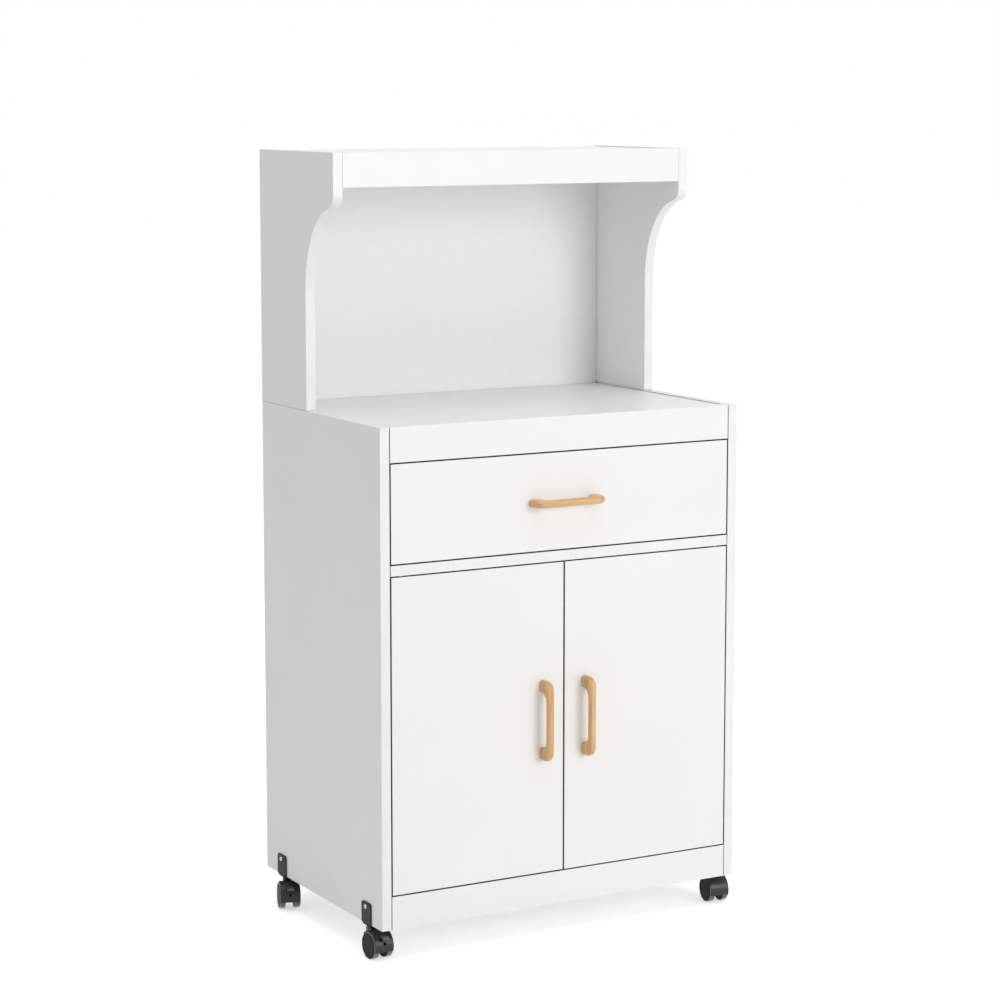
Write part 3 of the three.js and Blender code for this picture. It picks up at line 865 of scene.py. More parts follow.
# The tread's lighter grey is partly wear and partly painted sheen, standing in for the floor's
# reflection along the tread.
TREAD = Finish(
    "worn_tread",
    light=(0.060, 0.060, 0.057),
    dark=(0.020, 0.020, 0.019),
    cloud_scale=420.0,
    rough=(0.12, 0.26),
    relief=Relief(900.0, 0.5, 0.05 * MM),
    shine=0.8,
    coat=0.8,
)
WHITE_NYLON = Finish(
    "white_nylon",
    light=(0.80, 0.80, 0.77),
    dark=(0.74, 0.74, 0.71),
    cloud_scale=120.0,
    rough=(0.36, 0.5),
    relief=Relief(1200.0, 0.2, 0.03 * MM),
)
BEECH_ALONG_X = BeechFinish("beech_along_x", Axis.X)
BEECH_ALONG_Z = BeechFinish("beech_along_z", Axis.Z)


# ---- The workshop --------------------------------------------------------------------------------


@dataclass
class Workshop:
    """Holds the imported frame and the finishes, and books each finished piece into the cart."""

    frame: dict
    small_arris: float = 0.3 * MM
    made: dict[str, Material] = field(default_factory=dict)

    def material(self, finish: Finish | BeechFinish) -> Material:
        """The material of a finish, made the first time it is asked for.

        Args:
            finish: the finish.

        Returns:
            Its material.
        """
        if finish.name not in self.made:
            self.made[finish.name] = finish.make()
        return self.made[finish.name]

    def joint(self, name: str) -> dict:
        """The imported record's joint of that name."""
        return next(joint for joint in self.frame["joints"] if joint["name"] == name)

    def slot_of(self, node: str) -> str:
        """The record's material slot of a node."""
        subparts = self.frame["record"]["subparts"]
        return next(part["material_slot"] for part in subparts if part["node"] == node)

    def body_of(self, node: str) -> str:
        """The body that a node belongs to."""
        return self.frame["nodes"][node]["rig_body"]

    def paint(
        self,
        piece: Object,
        finish: Finish | BeechFinish,
        other: Finish | None = None,
        test: FaceTest | None = None,
    ) -> None:
        """Gives a piece its finish, and another one to the faces that pass a test.

        Args:
            piece: the piece.
            finish: the finish of the whole.
            other: the second finish, or None.
            test: takes a face's middle and its normal.
        """
        piece.data.materials.clear()
        piece.data.materials.append(self.material(finish))
        if other is None:
            return
        piece.data.materials.append(self.material(other))
        for face in piece.data.polygons:
            face.material_index = int(test(face.center, face.normal))

    def book(self, piece: Object, body: str, slot: str, *nodes: str) -> Object:
        """Books a finished piece.

        Args:
            piece: the piece.
            body: the body that it rides on.
            slot: the record's material slot; not used.
            nodes: the nodes that it stands for.

        Returns:
            The same piece.
        """
        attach(piece, body)
        if nodes:
            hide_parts(*nodes)
        LOG.info("%s rides on %s, %d faces", piece.name, body, len(piece.data.polygons))
        return piece

    def stand_for(self, piece: Object, node: str) -> Object:
        """Books a piece in the place of one node."""
        return self.book(piece, self.body_of(node), self.slot_of(node), node)

    def merged_copy(self, node: str, name: str) -> Object:
        """Copies a node's mesh, with its points merged and its flat faces whole.

        Args:
            node: the node.
            name: the new piece's name.

        Returns:
            The new piece.
        """
        piece = copied(self.frame["nodes"][node], name)
        only(piece)
        bpy.ops.mesh.customdata_custom_splitnormals_clear()
        with editing(piece):
            pick_all()
            bpy.ops.mesh.remove_doubles(threshold=MERGE_DISTANCE)
            bpy.ops.mesh.dissolve_limited(angle_limit=math.radians(FLAT_WITHIN))
        return piece

    def softened(
        self, node: str, suffix: str, finish: Finish, width: float, segments: int = 2
    ) -> None:
        """Stands a rounded copy of a node in its place.

        Args:
            node: the node.
            suffix: what the piece's name adds to the node's.
            finish: its finish.
            width: how far its edges are rounded.
            segments: how many faces round each edge.
        """
        piece = self.merged_copy(node, f"{node}_{suffix}")
        round_edges(piece, width, segments)
        self.paint(piece, finish)
        self.stand_for(shade(piece), node)

    def pin(self, node: str) -> None:
        """Stands a zinc-plated pin in a node's place."""
        self.softened(node, "pin", ZINC, self.small_arris)

    def sheet(self, node: str) -> None:
        """Stands a sheet of white hardboard in a node's place."""
        self.softened(node, "sheet", HARDBOARD, self.small_arris, segments=1)

    def board(self, node: str, thin: Axis, gap: float = 0.0, arris: float = 0.5 * MM) -> None:
        """Stands a foiled board with banded edges in a node's place.

        Args:
            node: the node.
            thin: the axis through the board's thickness.
            gap: the hairline gap left at each of its ends along X.
            arris: how far its edges are rounded.
        """
        piece = self.merged_copy(node, f"{node}_board")
        low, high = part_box(node)
        centre = centre_of(node)
        shorter = Matrix.Diagonal((1 - 2 * gap / (high.x - low.x), 1, 1, 1))
        piece.matrix_world = Matrix.Translation(centre) @ shorter @ Matrix.Translation(-centre)
        settle(piece)
        round_edges(piece, arris)
        self.paint(piece, FOIL, EDGE_BAND, lambda _, normal: abs(normal[thin.value]) < NEARLY)
        self.stand_for(shade(piece), node)


# ---- Small fittings ------------------------------------------------------------------------------


@dataclass
class Fittings:
    """Patterns of the screw and the cover cap, each at the origin and facing +Z."""

    shop: Workshop
    screw_radius: float = 3.3 * MM
    screw_height: float = 2.1 * MM
    screw_dome: float = 0.6
    recess_reach: float = 1.9 * MM
    recess_half_width: float = 0.42 * MM
    recess_depth: float = 1.2 * MM
    cap_radius: float = 8.5 * MM
    cap_height: float = 0.9 * MM
    cap_rim: float = 0.25
    cap_dish: float = 0.4
    cap_arris: float = 0.12 * MM
    slot_reach: float = 0.45
    slot_half_width: float = 0.6 * MM
    slot_floor: float = 0.2

    def __post_init__(self) -> None:
        """Makes the two patterns."""
        self.screw, self.cap = self.pan_screw(), self.cam_cap()

    def pan_screw(self) -> Object:
        """A domed screw head with a cross recess.

        Returns:
            The pattern.
        """
        height = self.screw_height
        head = rod("pan_screw", (0, 0, 0), (0, 0, height), self.screw_radius, sides=32)
        with editing(head):
            pick_edges(head, lambda edge: middle(edge).z > NEARLY * height)
            bevel_picked(self.screw_dome * height, segments=4)
        low, high = height - self.recess_depth, 2 * height
        reach, half = self.recess_reach, self.recess_half_width
        for along, across in ((reach, half), (half, reach)):
            cross = block("cross", (-along, -across, low), (along, across, high))
            carve(head, cross, Carve.CUT)
        self.shop.paint(head, ZINC)
        return shade(head)

    def cam_cap(self) -> Object:
        """A round cover cap with a shallow dish and a slot.

        Returns:
            The pattern.
        """
        radius, height = self.cap_radius, self.cap_height
        cap = rod("cam_cap", (0, 0, 0), (0, 0, height), radius, sides=40)
        with editing(cap):
            pick_faces(cap, looking(Axis.Z, 1))
            step_picked(self.cap_rim * radius, (0, 0, -self.cap_dish * height))
        reach, half = self.slot_reach * radius, self.slot_half_width
        slot = block("slot", (-reach, -half, self.slot_floor * height), (reach, half, 2 * height))
        carve(cap, slot, Carve.CUT)
        round_edges(cap, self.cap_arris)
        self.shop.paint(cap, WHITE_NYLON)
        return shade(cap)


@dataclass
class Runner:
    """One roller runner: a powder-coated rail with a nylon roller near one of its ends."""

    shop: Workshop
    node: str
    at_front: bool
    arris: float = 0.2 * MM
    roller_zone: float = 24 * MM
    end_margin: float = 1 * MM
    least_slope: float = 0.15

    def build(self) -> None:
        """Dresses the runner. The roller's faces slope along Y and lie clear of the rail's end."""
        low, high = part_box(self.node)
        start, end = high.y - self.roller_zone, high.y - self.end_margin
        if self.at_front:
            start, end = low.y + self.end_margin, low.y + self.roller_zone
        piece = self.shop.merged_copy(self.node, f"{self.node}_rail")
        round_edges(piece, self.arris, segments=1)
        self.shop.paint(
            piece,
            POWDER_COAT,
            WHITE_NYLON,
            lambda spot, normal: start < spot.y < end and abs(normal.y) > self.least_slope,
        )
        self.shop.stand_for(shade(piece), self.node)


@dataclass
class Catch:
    """The magnetic catch: a case with a slot for its magnet, and two pole plates."""

    shop: Workshop
    wall: float = 2.2 * MM
    slot_depth: float = 2.5 * MM
    case_arris: float = 0.6 * MM
    pole_shares: tuple[float, float] = (0.36, 0.64)
    pole_from_end: float = 5 * MM
    pole_from_back: float = 2 * MM
    pole_half_thickness: float = 0.7 * MM
    pole_arris: float = 0.25 * MM

    def case(self) -> None:
        """Shapes the case."""
        case = block("magnetic_catch_case", *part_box("magnetic_catch"))
        with editing(case):
            pick_faces(case, looking(Axis.Y, -1))
            step_picked(self.wall, (0, self.slot_depth, 0))
        round_edges(case, self.case_arris, segments=3)
        self.shop.paint(case, WHITE_NYLON)
        self.shop.stand_for(shade(case), "magnetic_catch")

    def poles(self) -> None:
        """Shapes the pole plates, as one piece."""
        low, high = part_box("magnetic_catch")
        start, end = low.x + self.pole_from_end, high.x - self.pole_from_end
        half = self.pole_half_thickness
        plates = []
        for share in self.pole_shares:
            z = low.z + share * (high.z - low.z)
            back = high.y - self.pole_from_back
            plates.append(block("pole_plate", (start, low.y, z - half), (end, back, z + half)))
            round_edges(plates[-1], self.pole_arris)
        poles = joined("magnetic_catch_poles", plates)
        self.shop.paint(poles, ZINC)
        self.shop.book(shade(poles), "cabinet", "bright_steel")

    def build(self) -> None:
        """Builds the whole catch."""
        self.case()
        self.poles()


# ---- Carcass and hutch ---------------------------------------------------------------------------


@dataclass
class Carcass:
    """The cupboard: its boards, back, pins, cover caps, runners and catch."""

    shop: Workshop
    fittings: Fittings
    butt_joint: float = 0.85 * MM
    cap_from_end: float = 34 * MM
    cap_from_edge: float = 50 * MM
    runner_sheet: float = 1.2 * MM
    runner_screw_drop: float = 9 * MM
    runner_screw_shares: tuple[float, ...] = (0.12, 0.5, 0.9)

    def boards(self) -> None:
        """Foils every board of the cupboard."""
        for side in SIDES:
            self.shop.board(f"cabinet_side_{side}", Axis.X)
        for node in ("worktop", "divider_panel", "bottom_panel", "inner_shelf"):
            self.shop.board(node, Axis.Z, self.butt_joint)
        for node in ("top_rail", "plinth_rail", "rear_plinth_rail"):
            self.shop.board(node, Axis.Y, self.butt_joint)
        self.shop.sheet("cabinet_back_panel")

    def pins(self) -> None:
        """Finishes the shelf pins and the doors' pivot pins."""
        for side in SIDES:
            for place in ("shelf_pin_{}_front", "shelf_pin_{}_rear"):
                self.shop.pin(place.format(side))
            for place in ("door_pin_{}_lower", "door_pin_{}_upper"):
                self.shop.pin(place.format(side))

    def caps(self) -> None:
        """Covers the cam fittings under each level board."""
        for node in ("worktop", "divider_panel", "bottom_panel", "hutch_top"):
            low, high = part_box(node)
            across = high.x - self.cap_from_end
            places = (low.y + self.cap_from_edge, high.y - self.cap_from_edge)
            spots = [(side * across, y, low.z) for side in SIDES.values() for y in places]
            caps = row(self.fittings.cap, f"{node}_caps", spots, -UP)
            self.shop.book(caps, "cabinet", "catch_plastic")

    def runners(self) -> None:
        """Finishes the cabinet's runners and screws them on."""
        for name, side in SIDES.items():
            node = f"runner_cabinet_{name}"
            Runner(self.shop, node, at_front=True).build()
            low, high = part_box(node)
            web = outer_face(node, side) - side * self.runner_sheet
            z = high.z - self.runner_screw_drop
            spots = [(web, low.y + s * (high.y - low.y), z) for s in self.runner_screw_shares]
            screws = row(self.fittings.screw, f"runner_screws_{name}", spots, (-side, 0, 0))
            self.shop.book(screws, "cabinet", "bright_steel")

    def build(self) -> None:
        """Builds the whole carcass."""
        self.boards()
        self.pins()
        self.caps()
        self.runners()
        Catch(self.shop).build()


@dataclass
class Hutch:
    """The open hutch over the worktop."""

    shop: Workshop
    tight_arris: float = 0.08 * MM

    def build(self) -> None:
        """Foils the boards and the back. The fascia meets the sides in a tight joint."""
        for side in SIDES:
            self.shop.board(f"hutch_side_{side}", Axis.X, arris=2 * self.tight_arris)
        self.shop.board("hutch_top", Axis.Z)
        self.shop.board("hutch_fascia", Axis.Y, arris=self.tight_arris)
        self.shop.sheet("hutch_back_panel")


# ---- Handles, drawer and doors -------------------------------------------------------------------


@dataclass
class BowHandle:
    """A beech bow handle. Its pattern lies along X and reaches forward from y = 0."""

    shop: Workshop
    fittings: Fittings
    length: float = 119 * MM
    reach: float = 25.5 * MM
    width: float = 11 * MM
    foot: float = 18.5 * MM
    bar: float = 10 * MM
    outer_radius: float = 15 * MM
    inner_radius: float = 14 * MM
    arris: float = 4.6 * MM
    foot_margin: float = 0.02

    def __post_init__(self) -> None:
        """Makes the pattern."""
        self.pattern = self.shape()

    def bow(
        self, name: str, half: float, reach: float, half_width: float, radius: float, over: float
    ) -> Object:
        """A bar with its two front corners rounded.

        Args:
            name: the piece's name.
            half: half its length.
            reach: how far it comes forward.
            half_width: half its width.
            radius: the corners' radius.
            over: how far it runs on behind y = 0.

        Returns:
            The new piece.
        """

        def at_front(edge: BMEdge) -> bool:
            """Whether an edge is one of the two upright ones in front."""
            place = middle(edge)
            return place.y < -NEARLY * reach and abs(place.z) < (1 - NEARLY) * half_width

        piece = block(name, (-half, -reach, -half_width), (half, over, half_width))
        with editing(piece):
            pick_edges(piece, at_front)
            bevel_picked(radius, segments=12)
        return piece

    def shape(self) -> Object:
        """Shapes one handle.

        Returns:
            The pattern, unpainted.
        """
        half, reach, width = self.length / 2, self.reach, self.width
        handle = self.bow("bow_handle", half, reach, width / 2, self.outer_radius, 0)
        inner = half - self.foot, reach - self.bar, width, self.inner_radius
        carve(handle, self.bow("hollow", *inner, self.foot), Carve.CUT)
        mend(handle)
        with editing(handle):
            pick_edges(handle, self.is_rim)
            bevel_picked(self.arris, segments=6)
        return handle

    def is_rim(self, edge: BMEdge) -> bool:
        """Whether an edge runs round one of the two side faces, clear of the foot."""
        flat = [abs(face.normal.z) > NEARLY for face in edge.link_faces]
        return any(flat) and not all(flat) and middle(edge).y < -self.foot_margin * self.reach

    def mount(self, node: str, finish: BeechFinish, upright: bool) -> None:
        """Copies the pattern into a handle node's place.

        Args:
            node: the handle's node.
            finish: its finish.
            upright: whether it stands along Z.
        """
        centre = centre_of(node)
        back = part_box(node)[1].y
        handle = copied(self.pattern, f"{node}_bow")
        turn = Matrix.Rotation(math.pi / 2, 4, "Y") if upright else Matrix.Identity(4)
        handle.matrix_world = Matrix.Translation((centre.x, back, centre.z)) @ turn
        settle(handle)
        self.shop.paint(handle, finish)
        self.shop.stand_for(shade(handle, angle=40.0), node)

    def screw_on(self, node: str, panel: str, upright: bool) -> None:
        """Puts the heads of a handle's two screws on the inner face of its panel.

        Args:
            node: the handle's node.
            panel: the node of the panel that it is screwed to.
            upright: whether it stands along Z.
        """
        centre = centre_of(node)
        centre.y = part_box(panel)[1].y
        apart = (self.length - self.foot) / 2
        offset = Vector((0, 0, apart)) if upright else Vector((apart, 0, 0))
        spots = centre - offset, centre + offset
        screws = row(self.fittings.screw, f"{node}_screws", spots, -FORWARD)
        self.shop.book(screws, self.shop.body_of(node), "bright_steel")


@dataclass
class Drawer:
    """The drawer: its boards, bottom, runners, handle and screws."""

    shop: Workshop
    handle: BowHandle
    wider_gap: float = 0.2 * MM

    def build(self) -> None:
        """Builds the whole drawer."""
        self.shop.board("drawer_front", Axis.Y, self.wider_gap)
        self.shop.board("drawer_back", Axis.Y)
        self.shop.sheet("drawer_bottom")
        for side in SIDES:
            self.shop.board(f"drawer_side_{side}", Axis.X)
            Runner(self.shop, f"runner_drawer_{side}", at_front=False).build()
        self.handle.mount("drawer_handle", BEECH_ALONG_X, upright=False)
        self.handle.screw_on("drawer_handle", "drawer_front", upright=False)


@dataclass
class Doors:
    """The two doors, with their handles, screws and strike plates."""

    shop: Workshop
    handle: BowHandle
    wider_gap: float = 0.3 * MM
    plate_near: float = 3 * MM
    plate_far: float = 21 * MM
    plate_thickness: float = 1.2 * MM
    plate_half_height: float = 5 * MM
    plate_drop: float = 1.5 * MM
    plate_corner: float = 1.5 * MM
    plate_arris: float = 0.2 * MM
    dimple_radius: float = 2.2 * MM
    dimple_floor: float = 0.7 * MM
    dimple_top: float = 3 * MM

    def strike_plate(self, name: str, side: int) -> None:
        """Puts the steel plate that meets the catch on a door's inner face.

        Args:
            name: the door's side, in words.
            side: the same, as a sign along X.
        """
        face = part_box(f"door_{name}")[1].y
        low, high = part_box("magnetic_catch")
        z = (low.z + high.z) / 2 - self.plate_drop
        near, far = sorted((side * self.plate_near, side * self.plate_far))
        plate = block(
            f"strike_plate_{name}",
            (near, face, z - self.plate_half_height),
            (far, face + self.plate_thickness, z + self.plate_half_height),
        )
        with editing(plate):
            pick_edges(plate, self.is_corner)
            bevel_picked(self.plate_corner, segments=4)
        x = (near + far) / 2
        floor, top = (x, face + self.dimple_floor, z), (x, face + self.dimple_top, z)
        carve(plate, rod("dimple", floor, top, self.dimple_radius, sides=24), Carve.CUT)
        round_edges(plate, self.plate_arris)
        self.shop.paint(plate, ZINC)
        self.shop.book(shade(plate), f"{name}_door", "bright_steel")

    def is_corner(self, edge: BMEdge) -> bool:
        """Whether an edge runs through the plate's thickness."""
        start, end = (vert.co for vert in edge.verts)
        return abs((start - end).normalized().y) > NEARLY

    def build(self) -> None:
        """Builds both doors."""
        for name, side in SIDES.items():
            node = f"door_handle_{name}"
            self.shop.board(f"door_{name}", Axis.Y, self.wider_gap)
            self.handle.mount(node, BEECH_ALONG_Z, upright=True)
            self.handle.screw_on(node, f"door_{name}", upright=True)
            self.strike_plate(name, side)


# ---- Casters -------------------------------------------------------------------------------------


@dataclass
class Wheel:
    """A caster's wheel, on the +X side of the axle and as high as the axle stands."""

    shop: Workshop
    axle: Vector
    width: float = 9.6 * MM
    inner_face: float = 6.65 * MM
    inner_rim_round: float = 1.3 * MM
    outer_rim_round: float = 2.6 * MM
    rim_slack: float = 0.1 * MM
    dish: tuple[tuple[float, float], ...] = (
        (1.2 * MM, -0.5 * MM),
        (0.8 * MM, 0.25 * MM),
        (9.5 * MM, 0.15 * MM),
    )
    bore_depth: float = 7.6 * MM
    arris: float = 0.1 * MM
    tread_from: float = 0.95

    def from_axle(self, spot: Vector) -> float:
        """How far a point is from the axle's line, as a share of the wheel's radius."""
        return (spot - self.axle).yz.length / self.axle.z

    def on_rim(self, spot: Vector, face: float) -> bool:
        """Whether a point is on the rim that lies at one face of the wheel."""
        return abs(spot.x - face) < self.rim_slack and self.from_axle(spot) > WHOLLY

    def on_tread(self, spot: Vector, _: Vector) -> bool:
        """Whether a face's middle lies on the tread."""
        return self.from_axle(spot) > self.tread_from

    def round_rim(self, wheel: Object, face: float, width: float) -> None:
        """Rounds the rim that lies at one face of a wheel.

        Args:
            wheel: the wheel.
            face: the face's place along X.
            width: how far the rim is rounded.
        """
        with editing(wheel):
            pick_edges(wheel, lambda edge: all(self.on_rim(v.co, face) for v in edge.verts))
            bevel_picked(width, segments=5)

    def pattern(self) -> Object:
        """Shapes the wheel: a dished outer face, rounded rims and a blind bore.

        Returns:
            The pattern.
        """
        axle = self.axle
        inner, outer = self.inner_face, self.inner_face + self.width
        ends = [axle + Vector((face, 0, 0)) for face in (inner, outer)]
        wheel = rod("wheel", *ends, axle.z, sides=72)
        self.round_rim(wheel, inner, self.inner_rim_round)
        self.round_rim(wheel, outer, self.outer_rim_round)
        with editing(wheel):
            pick_faces(wheel, looking(Axis.X, 1))
            for rim, rise in self.dish:
                step_picked(rim, (rise, 0, 0))
            pick_faces(wheel, looking(Axis.X, -1))
            step_picked(axle.z - self.inner_rim_round - AXLE_BORE, (self.bore_depth, 0, 0))
        round_edges(wheel, self.arris, segments=1, sharper_than=60.0)
        mend(wheel)
        # The tread's lighter finish is partly wear and partly painted sheen.
        self.shop.paint(wheel, WHEEL_NYLON, TREAD, self.on_tread)
        return shade(wheel)


@dataclass
class Hood:
    """A caster's hood: fender, web, hub, neck, boss and stem in one moulding."""

    axle: Vector
    stem_radius: float = 3.5 * MM
    stem_end: float = 77 * MM
    stem_bite: float = 1 * MM
    boss_radius: float = 7 * MM
    boss_height: float = 9 * MM
    boss_top: float = 45.6 * MM
    neck_drop: float = 4 * MM
    hub_radius: float = 7.5 * MM
    hub_proud: float = 0.2 * MM
    fender_inner: float = 20.4 * MM
    fender_outer: float = 21.6 * MM
    fender_width: float = 29.5 * MM
    fender_angles: tuple[float, float] = (40.0, 198.0)
    fender_steps: int = 44
    web_inner: float = 3 * MM
    web_bite: float = 0.3 * MM
    web_width: float = 12.4 * MM
    web_set_back: float = 1.5
    mould_round: float = 0.45 * MM
    lever_pivot: tuple[float, float] = (-30.5 * MM, 35 * MM)
    lever_length: float = 12.5 * MM
    pocket_half_width: float = 6.3 * MM
    pocket_behind: float = 2.5 * MM
    pocket_above: float = 4 * MM
    pocket_below: float = 5 * MM
    lock_hole: float = 4.4 * MM
    lock_rise: float = 3.5 * MM

    def web(self) -> Object:
        """Sweeps the web, a little short of the fender's ends and let into its inner face.

        Returns:
            The web.
        """
        radii = self.web_inner, self.fender_inner + self.web_bite
        start, end = self.fender_angles
        angles = start + self.web_set_back, end - self.web_set_back
        return swept("web", self.axle, radii, self.web_width, angles, self.fender_steps - 1)

    def pattern(self, name: str, braked: bool) -> Object:
        """Shapes the hood.

        Args:
            name: the pattern's name.
            braked: whether it has a lever's pocket and a lock hole.

        Returns:
            The pattern.
        """
        axle, half, top = self.axle, self.web_width / 2, self.boss_top
        radii = self.fender_inner, self.fender_outer
        width, angles = self.fender_width, self.fender_angles
        body = swept(name, axle, radii, width, angles, self.fender_steps)
        web = self.web()
        hub_end = Vector((half + self.hub_proud, 0, 0))
        hub = rod("hub", axle - hub_end, axle + hub_end, self.hub_radius)
        side = half - self.hub_proud
        neck_low = (-side, axle.y / 2, axle.z - self.hub_radius)
        neck = block("neck", neck_low, (side, half, top - self.neck_drop))
        boss = rod("boss", (0, 0, top - self.boss_height), (0, 0, top), self.boss_radius)
        foot = (0, 0, top - self.stem_bite)
        stem = rod("stem", foot, (0, 0, self.stem_end), self.stem_radius, sides=32)
        for part in (body, neck, boss, stem):
            round_edges(part, self.mould_round, segments=3)
        for part in (web, hub, neck, boss, stem):
            carve(body, part, Carve.JOIN)
        reach = Vector((width, 0, 0))
        carve(body, rod("bore", axle - reach, axle + reach, AXLE_BORE, sides=24), Carve.CUT)
        if braked:
            self.cut_lever_pocket(body)
        mend(body)
        return shade(body)

    def cut_lever_pocket(self, body: Object) -> None:
        """Cuts the brake lever's pocket and the square lock hole into a hood.

        Args:
            body: the hood.
        """
        y, z = self.lever_pivot
        side, size = self.pocket_half_width, self.lock_hole
        front, low = self.axle.y - self.fender_inner, self.axle.z + self.lock_rise
        pocket_low = (-side, y - 2 * self.lever_length, z - self.pocket_below)
        pocket = block("pocket", pocket_low, (side, y + self.pocket_behind, z + self.pocket_above))
        carve(body, pocket, Carve.CUT)
        hole = block("hole", (-size / 2, front - size, low), (size / 2, front + size, low + size))
        carve(body, hole, Carve.CUT)


@dataclass(frozen=True)
class CasterSpot:
    """Where one caster stands: its name, its side, a point on its stem and its heading."""

    name: str
    side: int
    swivel: Vector
    heading: float


@dataclass
class Casters:
    """The four twin-wheel casters. Patterns stand with the stem on the Z axis, wheels ahead."""

    shop: Workshop
    fittings: Fittings
    trail: float = 18 * MM
    braked_side: int = SIDES["left"]
    bracket_arris: float = 0.35 * MM
    bracket_screw_drop: float = 6.5 * MM
    lever_arris: float = 0.45 * MM
    rib_places: tuple[float, ...] = (7.2 * MM, 9.0 * MM, 10.8 * MM)
    rib_half_length: float = 4.2 * MM
    rib_half_width: float = 0.45 * MM
    rib_foot: float = 0.9 * MM
    rib_top: float = 1.6 * MM
    rib_arris: float = 0.2 * MM

    @property
    def axle(self) -> Vector:
        """The middle of the axle, which stands as high as the wheels' radius."""
        low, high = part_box("wheel_front_left_outer")
        return Vector((0, -self.trail, (low.z + high.z) / 2))

    def ribs(self, pivot: Sequence[float]) -> Object:
        """Shapes the grip ribs on a brake lever's tip.

        Args:
            pivot: the lever's pivot, along Y and Z.

        Returns:
            The pattern.
        """
        half, thin = self.rib_half_length, self.rib_half_width
        low, high = pivot[1] + self.rib_foot, pivot[1] + self.rib_top
        ribs = []
        for step in self.rib_places:
            y = pivot[0] - step
            ribs.append(block("rib", (-half, y - thin, low), (half, y + thin, high)))
            round_edges(ribs[-1], self.rib_arris)
        return joined("lever_ribs", ribs)

    def spots(self) -> Iterator[CasterSpot]:
        """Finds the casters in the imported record.

        Yields:
            Where each of them stands.
        """
        for end in ("front", "rear"):
            for side_name, side in SIDES.items():
                name = f"{end}_{side_name}"
                swivel = Vector(self.shop.joint(f"{name}_swivel")["pos_m"])
                along = self.shop.joint(f"{name}_outer_roll")["axis"]
                yield CasterSpot(name, side, swivel, math.atan2(along[1], along[0]))

    def stand(
        self, pattern: Object, name: str, spot: CasterSpot, back_to_front: bool = False
    ) -> Object:
        """Copies a pattern to one caster's place and turns it to its heading.

        Args:
            pattern: the pattern.
            name: the copy's name.
            spot: where the caster stands.
            back_to_front: whether the pattern first turns round the middle of its axle.

        Returns:
            The copy, settled.
        """
        copy = copied(pattern, name)
        to_axle = Matrix.Translation(self.axle)
        flip = to_axle @ Matrix.Rotation(math.pi, 4, "Z") @ to_axle.inverted()
        foot = Matrix.Translation((spot.swivel.x, spot.swivel.y, 0))
        base = foot @ Matrix.Rotation(spot.heading, 4, "Z")
        copy.matrix_world = base @ flip if back_to_front else base
        return settle(copy)

    def bracket(self, spot: CasterSpot) -> None:
        """Finishes one caster's plate and screws it to the side panel.

        Args:
            spot: where the caster stands.
        """
        node = f"caster_bracket_{spot.name}"
        self.shop.softened(node, "pressing", BLACK_LACQUER, self.bracket_arris, segments=3)
        low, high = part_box(node)
        z = high.z - self.bracket_screw_drop
        place = (outer_face(node, spot.side), (low.y + high.y) / 2, z)
        name = f"bracket_screw_{spot.name}"
        head = row(self.fittings.screw, name, [place], (spot.side, 0, 0))
        self.shop.book(head, "cabinet", "bright_steel")

    def lever(self, spot: CasterSpot, ribs: Object) -> None:
        """Finishes one brake lever and its grip ribs.

        Args:
            spot: where the caster stands.
            ribs: the ribs' pattern.
        """
        node = f"brake_lever_{spot.name}"
        # Painted light: the lever and its ribs take a nylon lighter than the hood's.
        self.shop.softened(node, "tab", LEVER_NYLON_PAINTED_LIGHT, self.lever_arris, segments=3)
        grip = self.stand(ribs, f"{node}_ribs", spot)
        self.shop.paint(grip, LEVER_NYLON_PAINTED_LIGHT)
        self.shop.book(shade(grip), self.shop.body_of(node), "black_plastic")

    def wheels(self, spot: CasterSpot, wheel: Object) -> None:
        """Stands a caster's two wheels back to back.

        Args:
            spot: where the caster stands.
            wheel: the wheel's pattern.
        """
        for which, outward in (("outer", spot.side), ("inner", -spot.side)):
            node = f"wheel_{spot.name}_{which}"
            rolling = self.stand(wheel, f"{node}_rolling", spot, back_to_front=outward < 0)
            self.shop.stand_for(rolling, node)

    def build(self) -> None:
        """Builds all four casters from their patterns."""
        hood = Hood(self.axle)
        plain, braked = hood.pattern("plain_hood", False), hood.pattern("braked_hood", True)
        wheel, ribs = Wheel(self.shop, self.axle).pattern(), self.ribs(hood.lever_pivot)
        for spot in self.spots():
            has_brake = spot.side == self.braked_side
            node = f"caster_hood_{spot.name}"
            moulding = self.stand(braked if has_brake else plain, f"{node}_moulding", spot)
            self.shop.paint(moulding, BLACK_NYLON)
            self.shop.stand_for(moulding, node)
            self.wheels(spot, wheel)
            self.shop.pin(f"caster_axle_{spot.name}")
            self.bracket(spot)
            if has_brake:
                self.lever(spot, ribs)
        discard(plain, braked, wheel, ribs)


# ---- Studio --------------------------------------------------------------------------------------


def aimed(name: str, data: object, place: Numbers, target: Numbers) -> Object:
    """Adds a lamp or a camera that looks at a point.

    Args:
        name: the object's name.
        data: the lamp or the camera.
        place: where it stands.
        target: the point.

    Returns:
        The object.
    """
    holder = bpy.data.objects.new(name, data)
    holder.location = place
    holder.rotation_euler = (Vector(target) - Vector(place)).to_track_quat("-Z", "Y").to_euler()
    bpy.context.scene.collection.objects.link(holder)
    return holder


@dataclass(frozen=True)
class SoftBox:
    """One square area lamp."""

    name: str
    place: tuple[float, float, float]
    target: tuple[float, float, float]
    size: float
    watts: float

    def light(self) -> None:
        """Hangs the lamp."""
        lamp = bpy.data.lights.new(self.name, "AREA")
        lamp.shape, lamp.size, lamp.energy = "SQUARE", self.size, self.watts
        aimed(self.name, lamp, self.place, self.target)


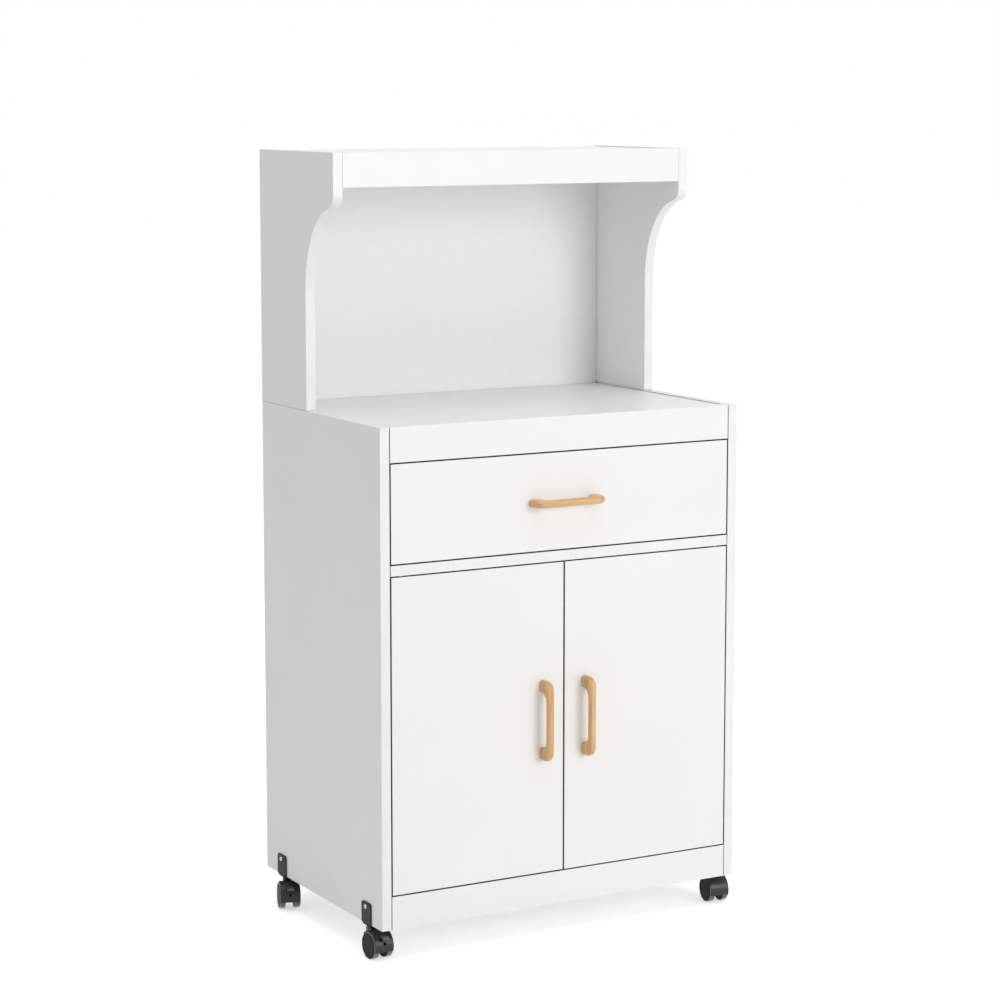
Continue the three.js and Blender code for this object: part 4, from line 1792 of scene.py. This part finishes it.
@dataclass(frozen=True)
class Studio:
    """A pale floor, a white backdrop, soft light and the photograph's camera."""

    camera_place: tuple[float, float, float] = (-2.0427, -3.6176, 1.2426)
    camera_target: tuple[float, float, float] = (-0.0226, -0.0324, 0.7066)
    lens: float = 100.2
    lens_shift: float = -0.05
    floor_size: float = 40.0
    floor_colours: tuple[Colour, Colour] = ((0.93, 0.918, 0.885), (0.95, 0.938, 0.905))
    floor_places: tuple[float, float] = (0.3, 0.7)
    floor_clouds: float = 2.0
    floor_roughness: float = 0.9
    floor_glow: float = 0.55
    ambient: float = 0.5
    lamps: tuple[SoftBox, ...] = (
        SoftBox("key", (1.3, -3.9, 1.6), (0, 0, 0.85), size=1.8, watts=55.0),
        SoftBox("overhead", (0, -0.6, 3.6), (0, 0, 0.5), size=3.0, watts=33.0),
    )

    def backdrop(self) -> None:
        """Makes the world white to the camera and a soft grey to everything else."""
        world = bpy.data.worlds.new("backdrop")
        bpy.context.scene.world = world
        tree = NodeTree(world)
        soft = tree.node("Background", Color=(*WHITE, 1), Strength=self.ambient)
        white = tree.node("Background", Color=(*WHITE, 1))
        mix = tree.node("MixShader")
        tree.link(tree.seen(), mix, "Fac")
        tree.link(soft.outputs[0], mix, 1)
        tree.link(white.outputs[0], mix, 2)
        tree.link(mix.outputs[0], tree.node("OutputWorld"), "Surface")

    def floor(self) -> None:
        """Lays the floor, which shows the cart's shadow on white."""
        deselect()
        bpy.ops.mesh.primitive_plane_add(size=self.floor_size, location=(0, 0, 0))
        floor = named("studio_floor")
        grain = Grain("studio_floor")
        clouds = grain.noise(self.floor_clouds)
        colour = grain.ramp(clouds, self.floor_places, *self.floor_colours)
        grain.link(colour, grain.shader, "Base Color")
        grain.tune(grain.shader, Roughness=self.floor_roughness)
        strength = grain.node("Math")
        strength.operation = "MULTIPLY"
        strength.inputs[1].default_value = self.floor_glow
        grain.link(grain.seen(), strength, 0)
        glow = grain.node("Emission")
        grain.link(strength.outputs[0], glow, "Strength")
        both = grain.node("AddShader")
        grain.link(grain.shader.outputs["BSDF"], both, 0)
        grain.link(glow.outputs[0], both, 1)
        grain.link(both.outputs[0], grain.output, "Surface")
        floor.data.materials.append(grain.material)
        floor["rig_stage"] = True

    def camera(self) -> None:
        """Sets the camera at the photograph's angle."""
        data = bpy.data.cameras.new("photograph")
        data.lens, data.shift_y = self.lens, self.lens_shift
        camera = aimed("photograph", data, self.camera_place, self.camera_target)
        bpy.context.scene.camera = camera

    def build(self) -> None:
        """Builds the whole studio."""
        bpy.context.scene.view_settings.view_transform = "Standard"
        self.backdrop()
        self.floor()
        self.camera()
        for lamp in self.lamps:
            lamp.light()


# ---- The whole cart ------------------------------------------------------------------------------


def write_sizes(before: tuple[Vector, Vector], after: tuple[Vector, Vector]) -> None:
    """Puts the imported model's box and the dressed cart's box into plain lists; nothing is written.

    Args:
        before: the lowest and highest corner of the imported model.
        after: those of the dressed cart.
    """
    boxes = {"cad": before, "visual": after}
    sizes = {name: [list(corner) for corner in box] for name, box in boxes.items()}


def main() -> None:
    """Builds the cart's sub-assemblies in order, then the studio round it."""
    logging.basicConfig(level=logging.INFO, format="%(message)s")
    shop = Workshop(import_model())
    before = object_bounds()
    fittings = Fittings(shop)
    handle = BowHandle(shop, fittings)
    Carcass(shop, fittings).build()
    Hutch(shop).build()
    Drawer(shop, handle).build()
    Doors(shop, handle).build()
    Casters(shop, fittings).build()
    discard(fittings.screw, fittings.cap, handle.pattern)
    Studio().build()
    write_sizes(before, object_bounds())


if __name__ == "__main__":
    main()
